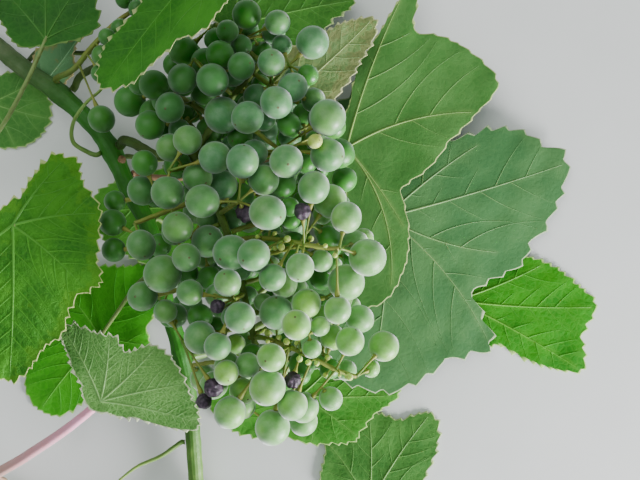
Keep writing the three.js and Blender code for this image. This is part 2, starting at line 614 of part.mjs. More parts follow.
const leaves = {
  right_leaf: {
    foot: [30, 10.5, 8], size: 85, thickness: BIG_BLADE_THICKNESS, slope: [-0.045, 0], cup: -1.8,
    ripple: 0.8, phase: 0.6, colour: colours.midLeaf,
    margin: [[17, 88], [-3, 75], [-9, 69.5], [-18, 66.5], [-40, 53], [-50, 76], [-65, 72], [-87, 80], [-109, 77],
      [-126, 70], [-150, 34], [180, 10], [150, 32], [118, 52], [83, 70], [62, 52], [50, 47], [36, 70],
      [25, 81]],
    root: [mainShootLimb, 0.69, [1, 0.2, -0.1]],
    stalk: [[-35, -30, 12], [-8, -9, 9.5], [15, 3, 9]],
  },
  centre_leaf: {
    foot: [12, 41.5, 14], size: 80, thickness: 1.6, slope: [0, 0], cup: 0.6, ripple: 0.6, phase: 2,
    colour: 0x5f9641,
    margin: [[67, 81], [61, 62], [50, 66], [38, 71], [22.5, 74], [14.5, 60], [4.5, 47], [-11.5, 39],
      [-32, 31.5], [-41, 33.5], [-56, 50], [-64, 60], [-76, 71], [-86, 71], [-95, 58], [-106, 36],
      [-125, 18], [170, 6], [110, 8], [86, 20], [82, 38], [75, 52]],
    root: [mainShootLimb, 0.42, [1, -0.1, -0.4]],
    stalk: [[-75, 28, 18], [-50, 29, 15.5], [-15, 37, 15]],
  },
  small_top_leaf: {
    foot: [-13.5, 64, 22], size: 48, thickness: 0.9, slope: [0.06, 0.04], cup: 0, ripple: 0.6, phase: 1,
    colour: 0x88925a,
    margin: [[40, 50], [50, 43], [60, 32], [90, 20], [150, 8], [-130, 6], [-40, 14], [5, 23], [24, 34]],
    root: [mainShootLimb, 0.39, [1, 0.2, -0.9]],
    stalk: [[-70, 37, 13.5], [-45, 49, 17]],
    stalkRadius: 1,
  },
  upper_front_leaf: {
    foot: [-40.5, 103, 90], size: 60, thickness: 1.2, slope: [0, 0], cup: -4, ripple: 0.7, phase: 0,
    fold: 0.8, foldSide: [0.743, -0.669], colour: colours.darkLeaf,
    margin: [[-52, 18.5], [-63, 20.5], [-80, 24.5], [-87, 29], [-100, 32], [-107, 34], [-115, 44],
      [-120.5, 55], [-128.5, 61], [-133, 61], [-136, 58], [-141, 50], [-145, 33], [-155, 29], [-170, 42],
      [175, 45], [150, 34], [110, 26], [75, 14], [50, 5], [20, 12], [-15, 18]],
    root: [mainShootLimb, 0.262, [1, 0.6, 0.1]],
    stalk: [[-104, 73, 25], [-88, 79.5, 30], [-74, 85, 36], [-60, 91, 55], [-49, 98, 79]],
    stalkRadius: 1.5,
  },
  top_left_leaf: {
    foot: [-117, 85.5, 36], size: 45, thickness: 1, slope: [0.03, 0.05], cup: 0, ripple: 0.8, phase: 3,
    colour: 0x2f6426,
    margin: [[12, 23], [35, 27], [60, 38], [90, 44], [115, 40], [140, 36], [160, 20], [175, 16], [192, 12],
      [225, 4], [-45, 4], [-10, 8]],
    root: [leftShootLimb, 0.55, [1, 0, 0.6]],
    stalk: [[-150, 38, 24], [-137, 50, 31], [-125, 69, 35]],
    stalkRadius: 1,
  },
  left_leaf: {
    foot: [-124, 6, 56], size: 60, thickness: 1.2, slope: [0, 0.03], cup: -3, ripple: 0.8, phase: 1.4,
    colour: colours.brightLeaf,
    margin: [[61, 32], [74, 12], [165, 10], [188, 34], [215, 40], [240, 46], [267, 64], [284, 51],
      [292, 49], [305, 40], [317, 39.5], [326, 42], [338, 36.5], [353, 35], [11, 35.7], [32, 33.2], [45, 37],
      [53, 35]],
    root: [leftShootLimb, 0.93, [1, 0.3, 0.6]],
    stalk: [[-150, 1, 30], [-140, 5, 46]],
  },
  young_leaf: {
    foot: [-92.5, -68, 40], size: 42, thickness: 0.9, slope: [0.05, 0.02], cup: 0, ripple: 0.7, phase: 0.3,
    colour: colours.greyLeaf,
    margin: [[120, 36], [91, 29], [78, 28.5], [62, 24], [47, 33], [27, 36], [5, 38.5], [-9, 42.5],
      [-18, 40], [-25, 17], [-60, 6], [200, 6], [140, 11], [126, 24]],
    root: [lowerShootLimb, 0.96, [-0.2, 0.7, 0.7]],
    stalk: [[-145, -105, 20], [-128, -94, 32], [-108, -80.5, 38]],
    stalkRadius: 2.2,
  },
  shade_leaf: {
    foot: [-102, -45, 2.2], size: 44, thickness: 0.9, slope: [0, 0], cup: -2.2, ripple: 0.3, phase: 0,
    colour: colours.brightLeaf,
    margin: [[74, 34], [51, 41], [33, 32], [10, 22], [-14, 24], [-60, 22], [-100, 28], [-120, 43],
      [-143, 44], [-165, 34], [160, 30], [125, 32]],
    root: [mainShootLimb, 0.58, [-1, -0.3, -0.5]],
    stalk: [[-83, -20.5, 14], [-92.5, -32.5, 8.5]],
    stalkRadius: 0.9,
  },
  corner_leaf: {
    foot: [-154, 64, 0], size: 30, thickness: 0.8, slope: [0, 0], cup: 0, ripple: 0.2, phase: 0,
    colour: 0x4b7c46,
    margin: [[31, 23], [5, 27.5], [-18, 29], [-43, 27], [-74, 22], [-110, 18], [180, 5], [90, 10]],
    root: [leftShootLimb, 0.3, [1, 0, -0.4]],
    stalk: [[-160, 64, 1.8]],
    stalkRadius: 0.8,
  },
  spotted_leaf: {
    foot: [-127, 72.5, 5.4], size: 30, thickness: 0.8, slope: [0.04, 0.03], cup: 0, ripple: 0.2, phase: 0,
    colour: 0x4a8448,
    margin: [[-14, 7], [12, 12.5], [25, 17], [36, 17.5], [44, 19], [48, 22.5], [52, 28], [58, 24], [70, 20],
      [85, 17.5], [103, 16], [116, 12], [140, 7], [180, 4], [-120, 3.5], [-50, 4.5]],
    root: [mainShootLimb, 0.185, [0.1, 0.1, -1]],
    stalk: [[-128.5, 74, 6]],
    stalkRadius: 0.8,
  },
  top_middle_leaf: {
    foot: [-38, 98, 10], size: 50, thickness: 0.9, slope: [0, 0.02], cup: -0.6, ripple: 0.4, phase: 1.5,
    colour: 0x47822e,
    margin: [[11, 55], [2, 43], [-15, 38], [-40, 34], [-75, 26], [-110, 20], [-150, 12], [180, 8], [150, 16],
      [110, 24], [75, 29], [50, 37], [32, 44], [20, 50]],
    root: [mainShootLimb, 0.16, [0.2, 0.6, -1]],
    stalk: [[-128, 89, 2.6], [-108, 87, 2.4], [-80, 93, 8], [-55, 97, 10]],
    stalkRadius: 1,
  },
  behind_leaf: {
    foot: [-40, 15, 6], size: 66, thickness: 0.9, slope: [0, 0], cup: 0, ripple: 0.3, phase: 0.8,
    colour: 0x3f8a2a,
    margin: [[-2, 34], [-30, 40], [-60, 41], [-90, 44], [-114, 42], [-135, 44], [-150, 50], [-164, 60],
      [180, 66], [170, 59], [160, 42], [136, 34], [112, 38], [90, 48], [62, 49], [30, 43]],
    root: [mainShootLimb, 0.5, [1, 0, -0.8]],
    stalk: [[-67, 6, 12], [-54, 10, 8.5]],
    stalkRadius: 0.9,
  },
  under_leaf: {
    foot: [-9, -72, 2.4], size: 46, thickness: 0.9, slope: [0, 0], cup: -0.3, ripple: 0.3, phase: 0,
    colour: 0x2f7a25,
    margin: [[2, 46], [-14, 36], [-30, 33], [-40, 33], [-60, 26], [-110, 21], [-140, 30], [-165, 41],
      [175, 42], [154, 39], [135, 24], [105, 14], [70, 18], [25, 36]],
    root: [hiddenShootLimb, 0.65, [0.3, -1, -0.3]],
    stalk: [[-19, -52, 2.6], [-14, -62, 2]],
    stalkRadius: 0.9,
  },
  lower_right_leaf: {
    foot: [63, -28, 0.4], size: 66, thickness: 0.9, slope: [0, 0], cup: -0.4, ripple: 0.2, phase: 0,
    colour: 0x55a52c,
    margin: [[24, 45], [8, 57], [-2, 66], [-15, 62], [-29, 68], [-36, 54], [-45, 30], [-80, 20], [180, 5],
      [110, 18], [60, 22], [40, 33]],
    root: [hiddenShootLimb, 1, [1, 0, 0]],
    stalk: [[20, -18, 2.6], [42, -22, 2.2]],
    stalkRadius: 0.9,
  },
  bottom_leaf: {
    foot: [23, -123, 1], size: 50, thickness: 0.9, slope: [0, 0], cup: -1, ripple: 0.3, phase: 0,
    colour: 0x4f8f35,
    margin: [[53, 51], [70, 42], [89, 43], [113, 41], [135, 30], [160, 24], [190, 10], [-90, 6], [-20, 20],
      [24, 28]],
    root: [mainShootLimb, 0.94, [1, 0, -0.1]],
    stalk: [[-35, -128, 3.5], [-5, -127, 2.5]],
    stalkRadius: 1.1,
  },
};

// The second, smaller bunch that hangs behind the upper front leaf

const secondStalkPath = [
  ...rootOn(mainShootLimb, 0.24, [0.6, 0.6, 0.9]),
  [-106, 74, 32], [-96, 82, 40], [-84, 92, 44], [-70, 100, 45],
];

// Its grapes that show: x, y, width and height
const secondGrapes = [
  [-90.5, 76.5, 9, 46], [-92.5, 70, 7.5, 42], [-83, 88, 8, 46], [-75, 85.5, 8, 52], [-74, 94, 8, 54],
  [-84, 80, 8, 40], [-92.8, 51.4, 11.5, 38],
];

// The grapes that show, and filling ones at random round the stalk where there is room
function growSecondBunch() {
  const random = randomFrom(SEED + 5);
  const stalk = curveThrough(secondStalkPath);
  const grapes = secondGrapes.map(([x, y, width, z]) => (
    { centre: [x, y, z], radius: width / 2, plain: width < 9 }
  ));
  const others = pathRods(secondStalkPath, 12, SECOND_STALK_RADIUS, 'second')
    .concat(leafStalkRods(leaves.upper_front_leaf), leafStalkRods(leaves.top_left_leaf));
  const wanted = grapes.length + SECOND_FILL;
  for (let i = 0; i < SECOND_TRIES && grapes.length < wanted; i += 1) {
    const root = stalk.getPointAt(0.45 + 0.55 * random());
    const turn = 2 * Math.PI * random();
    const lift = 2 * random() - 1;
    const level = Math.sqrt(1 - lift * lift);
    const radius = SECOND_SMALLEST + (SECOND_LARGEST - SECOND_SMALLEST) * random();
    const out = radius + 2 + (SECOND_SPREAD - radius) * random();
    const x = root.x + out * level * Math.cos(turn);
    const y = root.y + out * level * Math.sin(turn);
    const centre = [x, y, root.z + out * lift];
    const within = x > SECOND_LEFT && x < SECOND_RIGHT && y > SECOND_FRONT && y < SECOND_BACK;
    const clear = grapes.every((other) => distance(other.centre, centre) > other.radius + radius + GAP)
      && others.every((r) => pointToRod(centre, r.from, r.to) > r.radius + radius + GAP);
    if (within && clear) {
      grapes.push({ centre, radius, plain: true });
    }
  }
  return grapes;
}

function secondBunch() {
  const stalk = curveThrough(secondStalkPath);
  const solids = [limb(secondStalkPath, taper(SECOND_STALK_RADIUS, 0.9), 5, 8)];
  for (const grape of growSecondBunch()) {
    let foot = stalk.getPointAt(0.3).toArray();
    for (let i = 0; i <= 14; i += 1) {
      const point = stalk.getPointAt(0.3 + 0.05 * i).toArray();
      if (distance(point, grape.centre) < distance(foot, grape.centre)) {
        foot = point;
      }
    }
    solids.push(grapeSolid(grape, foot));
  }
  return joined(solids);
}

const tendrils = {
  curled_tendril: [
    ...rootOn(mainShootLimb, 0.372, [-0.6, -0.6, 0.4]),
    [-103, 39, 22], [-108, 43, 27], [-107, 51, 30], [-101, 59, 32], [-95, 64, 33], [-91.5, 69, 31],
  ],
  lower_tendril: [
    ...rootOn(mainShootLimb, 0.853, [-1, -0.2, 0.1]),
    [-72, -98, 12], [-83, -103, 11], [-92, -110, 8],
  ],
};

// Assembly

const vine = new THREE.Group();
vine.name = 'grapevine_shoot';
vine.add(meshOf('main_shoot', mainShoot(), finish(colours.shoot, 0.6)));
vine.add(meshOf('left_side_shoot', limb(leftShootLimb.path, leftShootLimb.radiusAt, 6, 12),
  finish(colours.youngShoot, 0.6)));
vine.add(meshOf('hidden_side_shoot', limb(hiddenShootLimb.path, hiddenShootLimb.radiusAt, 6, 9),
  finish(colours.youngShoot, 0.6)));
vine.add(meshOf('lower_side_shoot', limb(lowerShootLimb.path, lowerShootLimb.radiusAt, 6, 10),
  finish(colours.youngShoot, 0.6)));
vine.add(meshOf('bunch_stalk', bunchStalk(), finish(colours.stalk, 0.6)));

bunchBranches(vine, growBunch());
vine.add(meshOf('second_bunch', secondBunch(), finish(colours.grape, 0.5)));

for (const [name, leaf] of Object.entries(leaves)) {
  vine.add(meshOf(name, leafSolid(leaf), finish(leaf.colour, 0.6)));
}
for (const [name, path] of Object.entries(tendrils)) {
  vine.add(meshOf(name, limb(path, taper(TENDRIL_RADIUS, 0.6), 6, 16), finish(colours.tendril, 0.6)));
}

vine.position.set(-CENTRE_X, -CENTRE_Y, 0);

export default vine;
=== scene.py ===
import math

import bpy
import numpy as np
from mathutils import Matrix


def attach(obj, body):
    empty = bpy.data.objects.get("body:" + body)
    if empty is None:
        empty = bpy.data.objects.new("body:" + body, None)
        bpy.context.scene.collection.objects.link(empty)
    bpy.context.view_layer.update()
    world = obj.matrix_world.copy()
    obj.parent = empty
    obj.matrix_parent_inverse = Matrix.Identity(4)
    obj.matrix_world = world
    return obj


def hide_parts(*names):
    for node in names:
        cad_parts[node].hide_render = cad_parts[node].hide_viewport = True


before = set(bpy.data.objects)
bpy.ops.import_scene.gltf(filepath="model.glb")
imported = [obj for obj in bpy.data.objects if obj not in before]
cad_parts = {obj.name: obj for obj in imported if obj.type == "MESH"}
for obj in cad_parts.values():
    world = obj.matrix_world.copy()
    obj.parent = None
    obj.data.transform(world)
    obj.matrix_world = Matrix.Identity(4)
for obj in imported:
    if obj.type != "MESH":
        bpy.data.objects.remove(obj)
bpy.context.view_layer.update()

drawing = {
    "centre": (-24.72, -2.47, 0.0),   # the drawing's middle, which becomes the origin
    "viewHeight": 415.6,              # the camera stands this far above the ground
    "gap": 0.35,                      # clearance between a stem and the limb it leaves
    "rootLead": 2.0,                  # a side limb goes straight out for this far
    "seed": 20261,
    "goldenAngle": 2.39996,
}


# Limbs: a circle carried along a smooth curve

def unit(vectors):
    vectors = np.asarray(vectors, float)
    return vectors / np.maximum(np.linalg.norm(vectors, axis=-1, keepdims=True), 1e-9)


# From b to c by a cubic whose slope at each is half the step between its neighbours
def cubic(a, b, c, d, t):
    m, n = (c - a) / 2, (d - b) / 2
    return (2 * b - 2 * c + m + n) * t ** 3 + (-3 * b + 3 * c - 2 * m - n) * t ** 2 + m * t + b


# Smooth curve through the points; beyond the ends the last step is repeated
def curveAt(points, t):
    given = np.asarray(points, float)
    p = np.vstack([2 * given[0] - given[1], given, 2 * given[-1] - given[-2]])
    x = np.clip(np.asarray(t, float), 0, 1) * (len(given) - 1)
    i = np.minimum(x.astype(int), len(given) - 2)
    return cubic(p[i], p[i + 1], p[i + 2], p[i + 3], (x - i)[..., None])


def chords(points, count):
    return curveAt(points, np.arange(count + 1) / count)


def fromPolar(reach, angle):
    return np.stack([reach * np.cos(angle), reach * np.sin(angle)], axis=-1)


# Length of a line up to each of its points
def runAlong(line):
    return np.concatenate([[0], np.cumsum(np.linalg.norm(np.diff(line, axis=0), axis=1))])


def lengthOf(points):
    return runAlong(chords(points, 200))[-1]


# Curve parameters at even shares of its length, from a table of 200 chords
def evenShares(points, shares):
    length = runAlong(chords(points, 200))
    return np.interp(np.asarray(shares, float) * length[-1], length, np.arange(201) / 200)


def pointsAlong(points, shares):
    return curveAt(points, evenShares(points, shares))


def headingAlong(points, shares):
    t = evenShares(points, shares)
    return unit(curveAt(points, np.minimum(t + 1e-4, 1)) - curveAt(points, np.maximum(t - 1e-4, 0)))


def taper(start, end):
    return lambda along: start + (end - start) * np.asarray(along, float)


# A taper that swells at each node of the shoot, by a bell curve
def jointedTaper(start, end, nodes, swelling, reach):
    def radiusAt(along):
        along = np.asarray(along, float)
        bells = sum(np.exp(-((along - node) / reach) ** 2) for node in nodes)
        return start + (end - start) * along + swelling * bells
    return radiusAt


# First two points of a limb that leaves another one, just clear of its skin
def rootOn(carrier, share, way):
    centre = pointsAlong(carrier["path"], share)
    forward = headingAlong(carrier["path"], share)
    if share == 1:
        tip = centre + forward * drawing["gap"]
        return [tip, tip + forward * drawing["rootLead"]]
    way = np.asarray(way, float)
    out = unit(way - forward * way.dot(forward))
    start = centre + out * (carrier["radiusAt"](share) + drawing["gap"])
    return [start, start + out * drawing["rootLead"]]


# Smooth noise, mostly between -1 and 1: a sum of sine waves in seeded directions
def softNoise(points, size, seed):
    waves = 7
    draw = np.random.default_rng(seed)
    ways = unit(draw.normal(size=(waves, 3))) * draw.uniform(0.6, 1.5, (waves, 1)) * 2 * np.pi / size
    phase = draw.uniform(0, 2 * np.pi, waves)
    return np.sin(np.asarray(points) @ ways.T + phase).sum(axis=-1) / math.sqrt(waves)


# Shapes: grids of points whose columns run round, closed at both end rows by a fan

def gridShape(points, part=0, tipPart=None, marks=None):
    points = np.asarray(points, float)
    points = points[None] if points.ndim == 3 else points
    count, rows, columns, _ = points.shape
    ring = rows * columns
    middles = points[:, [0, -1]].mean(axis=2)
    verts = np.concatenate([points.reshape(count, ring, 3), middles], axis=1)
    r = np.arange(rows - 1)[:, None] * columns
    c = np.arange(columns)[None]
    k = (c + 1) % columns
    quads = np.stack([r + c, r + k, r + columns + k, r + columns + c], axis=-1).reshape(-1, 4)
    last = (rows - 1) * columns
    start = np.stack([k[0] * 0 + ring, k[0], c[0]], axis=-1)
    end = np.stack([c[0] * 0 + ring + 1, last + c[0], last + k[0]], axis=-1)
    tris = np.concatenate([start, end])
    first = verts[0]
    triangles = np.concatenate([quads[:, [0, 1, 2]], quads[:, [0, 2, 3]], tris])
    corner = first[triangles] - first[0]
    volume = np.einsum("ij,ij->i", corner[:, 0], np.cross(corner[:, 1], corner[:, 2])).sum()
    if volume < 0:                                       # faces point outwards
        quads, tris = quads[:, ::-1], tris[:, ::-1]
    shift = np.arange(count)[:, None, None] * (ring + 2)
    part = np.broadcast_to(np.asarray(part), (count,))
    quadPart = np.repeat(part[:, None], len(quads), axis=1)
    triPart = np.repeat(part[:, None], len(tris), axis=1)
    if tipPart is not None:
        quadPart[:, -columns:] = tipPart
        triPart[:, columns:] = tipPart
    shape = {
        "verts": verts.reshape(-1, 3),
        "quads": (quads[None] + shift).reshape(-1, 4),
        "tris": (tris[None] + shift).reshape(-1, 3),
        "quadPart": quadPart.reshape(-1),
        "triPart": triPart.reshape(-1),
        "marks": {},
    }
    for name, values in (marks or {}).items():
        grid = np.broadcast_to(values, (count, rows, columns))
        ends = np.stack([grid[:, 0].mean(axis=1), grid[:, -1].mean(axis=1)], axis=1)
        shape["marks"][name] = np.concatenate([grid.reshape(count, ring), ends], axis=1).reshape(-1)
    return shape


def roundAngles(count):
    return np.linspace(0, 2 * np.pi, count, endpoint=False)


# Two directions that stand square to the way forward, the first of them square to the other too
def squareTo(forward, other):
    side = unit(np.cross(forward, other))
    return side, np.cross(side, forward)


# Directions round a limb, from the two that stand square to its run
def waysRound(side, rise, angle):
    return side[..., None, :] * np.cos(angle)[:, None] + rise[..., None, :] * np.sin(angle)[:, None]


# Puts one or more shapes into one mesh object that stands for the given nodes
def addPiece(name, shapes, materials, nodes, sharp=None):
    sizes = np.cumsum([0] + [len(s["verts"]) for s in shapes])
    verts = np.concatenate([s["verts"] for s in shapes]) - np.array(drawing["centre"])
    quads = np.concatenate([s["quads"] + n for s, n in zip(shapes, sizes)])
    tris = np.concatenate([s["tris"] + n for s, n in zip(shapes, sizes)])
    parts = np.concatenate([s["quadPart"] for s in shapes] + [s["triPart"] for s in shapes])
    mesh = bpy.data.meshes.new(name)
    mesh.vertices.add(len(verts))
    mesh.vertices.foreach_set("co", (verts / 1000).astype(np.float32).ravel())
    corners = np.concatenate([quads.ravel(), tris.ravel()]).astype(np.int32)
    mesh.loops.add(len(corners))
    mesh.loops.foreach_set("vertex_index", corners)
    starts = np.concatenate([np.arange(len(quads)) * 4, len(quads) * 4 + np.arange(len(tris)) * 3])
    mesh.polygons.add(len(starts))
    mesh.polygons.foreach_set("loop_start", starts.astype(np.int32))
    mesh.polygons.foreach_set("material_index", parts.astype(np.int32))
    mesh.polygons.foreach_set("use_smooth", np.ones(len(starts), bool))
    for title in sorted({m for s in shapes for m in s["marks"]}):
        values = [s["marks"].get(title, np.zeros(len(s["verts"]))) for s in shapes]
        stored = mesh.attributes.new(title, "FLOAT", "POINT")
        stored.data.foreach_set("value", np.concatenate(values).astype(np.float32))
    mesh.update(calc_edges=True)
    mesh.validate()
    if sharp is not None:
        mesh.set_sharp_from_angle(angle=math.radians(sharp))
    for material in materials:
        mesh.materials.append(material)
    piece = bpy.data.objects.new(name, mesh)
    bpy.context.scene.collection.objects.link(piece)
    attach(piece, "root")
    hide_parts(*nodes)
    print(f"{name}: {2 * len(quads) + len(tris)} triangles")


def evenTone(along):
    return along


def noAge(along):
    return along * 0


# For each kind of limb: corners of its ring, step between rings, number of ridges, their depth as a
# share of the radius, height of its bumps and their size
limbLooks = {
    "shoot": (56, 0.9, 15, 0.022, 0.10, 7),
    "side shoot": (28, 0.9, 9, 0.03, 0.05, 5),
    "bunch stalk": (28, 0.8, 7, 0.05, 0.10, 5),
    "shoulder": (22, 0.8, 6, 0.05, 0.08, 4),
    "leaf stalk": (20, 0.9, 5, 0.05, 0.03, 3),
    "branchlet": (12, 0.9, 4, 0.07, 0.10, 3),
    "second stalk": (16, 0.8, 5, 0.05, 0.06, 4),
    "tendril": (16, 0.6, 4, 0.04, 0.03, 3),
}


# Limb: rings of a radius given along the path, with bumps and with ridges that wander a little
def limbShape(path, radiusAt, kind, seed, part=0, tone=evenTone, age=noAge):
    sides, step, ridges, ridgeDepth, bumps, bumpSize = limbLooks[kind]
    rows = max(6, int(lengthOf(path) / step))
    along = np.linspace(0, 1, rows)
    centre = pointsAlong(path, along)
    forward = headingAlong(path, along)
    angle = roundAngles(sides)
    ways = waysRound(*squareTo(forward, [0, 0, 1]), angle)
    radius = np.broadcast_to(radiusAt(along), (rows,))[:, None]
    wander = 0.5 * np.sin(along * lengthOf(path) / 17 + seed)[:, None]
    lift = 1 + ridgeDepth * np.cos(ridges * angle[None] + wander)
    points = centre[:, None] + ways * (radius * lift)[..., None]
    points = points + ways * (bumps * softNoise(points, bumpSize, seed))[..., None]
    marks = {name: np.broadcast_to(rule(along)[:, None], (rows, sides))
             for name, rule in (("tone", tone), ("age", age))}
    return gridShape(points, part, marks=marks)


# Materials

def paint(red, green, blue):
    # an sRGB colour from 0 to 255, as a linear one
    values = np.array([red, green, blue]) / 255
    linear = np.where(values <= 0.04045, values / 12.92, ((values + 0.055) / 1.055) ** 2.4)
    return (*linear.tolist(), 1.0)


# Links a value to a socket or sets it there, where three numbers are a colour for paint
def feed(tree, value, socket):
    if isinstance(value, bpy.types.NodeSocket):
        tree.links.new(value, socket)
    else:
        socket.default_value = paint(*value) if isinstance(value, tuple) else value


# A new node's output, with its inputs fed by name or number
def addNode(tree, kind, output, inputs, **settings):
    node = tree.nodes.new(kind)
    for name, value in settings.items():
        setattr(node, name, value)
    for socket, value in inputs.items():
        feed(tree, value, node.inputs[socket])
    return node.outputs[output]


def mixColours(tree, factor, first, second):
    return addNode(tree, "ShaderNodeMix", 2, {0: factor, 6: first, 7: second}, data_type="RGBA")


def between(tree, value, low, high, toLow=0.0, toHigh=1.0):
    inputs = dict(enumerate((value, low, high, toLow, toHigh)))
    return addNode(tree, "ShaderNodeMapRange", "Result", inputs, interpolation_type="SMOOTHSTEP")


# One colour laid over another where the mask lies between low and high
def layer(tree, under, over, mask, low, high, least=0.0, most=1.0):
    return mixColours(tree, between(tree, mask, low, high, least, most), under, over)


def calculate(tree, operation, first, second):
    return addNode(tree, "ShaderNodeMath", 0, {0: first, 1: second}, operation=operation)


def noise(tree, place, scale, detail=3.0, roughness=0.5):
    inputs = {"Vector": place, "Scale": scale, "Detail": detail, "Roughness": roughness}
    return addNode(tree, "ShaderNodeTexNoise", "Fac", inputs)


# Network of small veins: distance to the edge between cells
def network(tree, place, scale):
    inputs = {"Vector": place, "Scale": scale}
    return addNode(tree, "ShaderNodeTexVoronoi", "Distance", inputs, feature="DISTANCE_TO_EDGE")


def mark(tree, name):
    return addNode(tree, "ShaderNodeAttribute", "Fac", {}, attribute_name=name)


def bump(tree, height, strength, distance, **normal):
    inputs = {"Strength": strength, "Distance": distance, "Height": height, **normal}
    return addNode(tree, "ShaderNodeBump", "Normal", inputs)


def startMaterial(name):
    material = bpy.data.materials.new(name)
    material.use_nodes = True
    tree = material.node_tree
    shader = tree.nodes["Principled BSDF"]
    place = tree.nodes.new("ShaderNodeTexCoord").outputs["Object"]
    return material, tree, shader, place


grapeFinish = {
    "bloomCells": 300.0,       # patches of the waxy bloom, per metre
    "bloomShare": 0.26,        # how much paler the bloom makes the skin
    "yellowGlowCells": 95.0,         # wide patches of painted glow, yellower where light shines through the skin
    "yellowGlowShare": 0.5,
    "glow": 0.3,               # share of light that goes through the skin
    "gloss": 0.4,
    "sheenTint": (244, 232, 250),
}


# Skin of an unripe grape: green, with wide yellower patches of painted glow where light shines through, under
# a thin whitish bloom
def makeGrapeSkin(name, flesh, yellowGlow, bloom, sheen):
    material, tree, shader, place = startMaterial(name)
    patches = noise(tree, place, grapeFinish["bloomCells"], 4, 0.6)
    wide = noise(tree, place, grapeFinish["yellowGlowCells"], 1)
    flecks = noise(tree, place, grapeFinish["bloomCells"] * 8, 2)
    # painted glow: wide yellower patches where light shining through the skin is painted in
    skin = layer(tree, flesh, yellowGlow, wide, 0.45, 0.68, 0.0, grapeFinish["yellowGlowShare"])
    skin = layer(tree, skin, bloom, patches, 0.35, 0.75, 0.0, grapeFinish["bloomShare"])
    skin = layer(tree, skin, yellowGlow, flecks, 0.64, 0.72, 0.0, 0.2)
    feed(tree, skin, shader.inputs["Base Color"])
    feed(tree, between(tree, patches, 0.3, 0.7, 0.36, 0.54), shader.inputs["Roughness"])
    shader.inputs["Specular IOR Level"].default_value = grapeFinish["gloss"]
    shader.inputs["Subsurface Weight"].default_value = grapeFinish["glow"]
    shader.inputs["Subsurface Radius"].default_value = (0.6, 1.0, 0.35)
    shader.inputs["Subsurface Scale"].default_value = 0.004
    shader.inputs["Sheen Weight"].default_value = sheen
    shader.inputs["Sheen Roughness"].default_value = 0.45
    shader.inputs["Sheen Tint"].default_value = paint(*grapeFinish["sheenTint"])
    feed(tree, bump(tree, patches, 0.12, 0.0002), shader.inputs["Normal"])
    return material


# Dark dried skin, or the corky scar at a grape's tip
def makeDriedSkin(name, dark, light, cells, gloss):
    material, tree, shader, place = startMaterial(name)
    folds = noise(tree, place, cells, 5, 0.65)
    feed(tree, layer(tree, dark, light, folds, 0.4, 0.7), shader.inputs["Base Color"])
    shader.inputs["Roughness"].default_value = gloss
    feed(tree, bump(tree, folds, 0.6, 0.0006), shader.inputs["Normal"])
    return material


stemFinish = {"streakCells": 160, "speckCells": 1500, "gloss": 0.3, "glow": 0.08}


# Skin of a green stem: streaks and specks, going over to a second colour by the tone mark, and to
# the colour of old skin by the age mark
def makeStemSkin(name, base, second, speck, roughness=0.5, streak=0.45, old=None):
    material, tree, shader, place = startMaterial(name)
    soft = noise(tree, place, stemFinish["streakCells"], 4)
    fine = noise(tree, place, stemFinish["speckCells"], 3)
    colour = mixColours(tree, mark(tree, "tone"), base, second)
    if old is not None:
        colour = mixColours(tree, mark(tree, "age"), colour, old)
    colour = layer(tree, colour, speck, soft, 0.35, 0.7, 0.0, streak)
    colour = layer(tree, colour, speck, fine, 0.6, 0.72, 0.0, 0.5)
    feed(tree, colour, shader.inputs["Base Color"])
    feed(tree, between(tree, soft, 0.3, 0.7, roughness - 0.08, roughness + 0.12), shader.inputs["Roughness"])
    shader.inputs["Specular IOR Level"].default_value = stemFinish["gloss"]
    shader.inputs["Subsurface Weight"].default_value = stemFinish["glow"]
    shader.inputs["Subsurface Scale"].default_value = 0.002
    feed(tree, bump(tree, fine, 0.35, 0.0003), shader.inputs["Normal"])
    return material


bladeFinish = {
    "grainCells": 900,
    "tinyCells": 3.1,          # cells of the tiniest veins, over those of the small ones
    "wornEdge": 0.12,          # how softly a patch of wear and painted glow ends
}


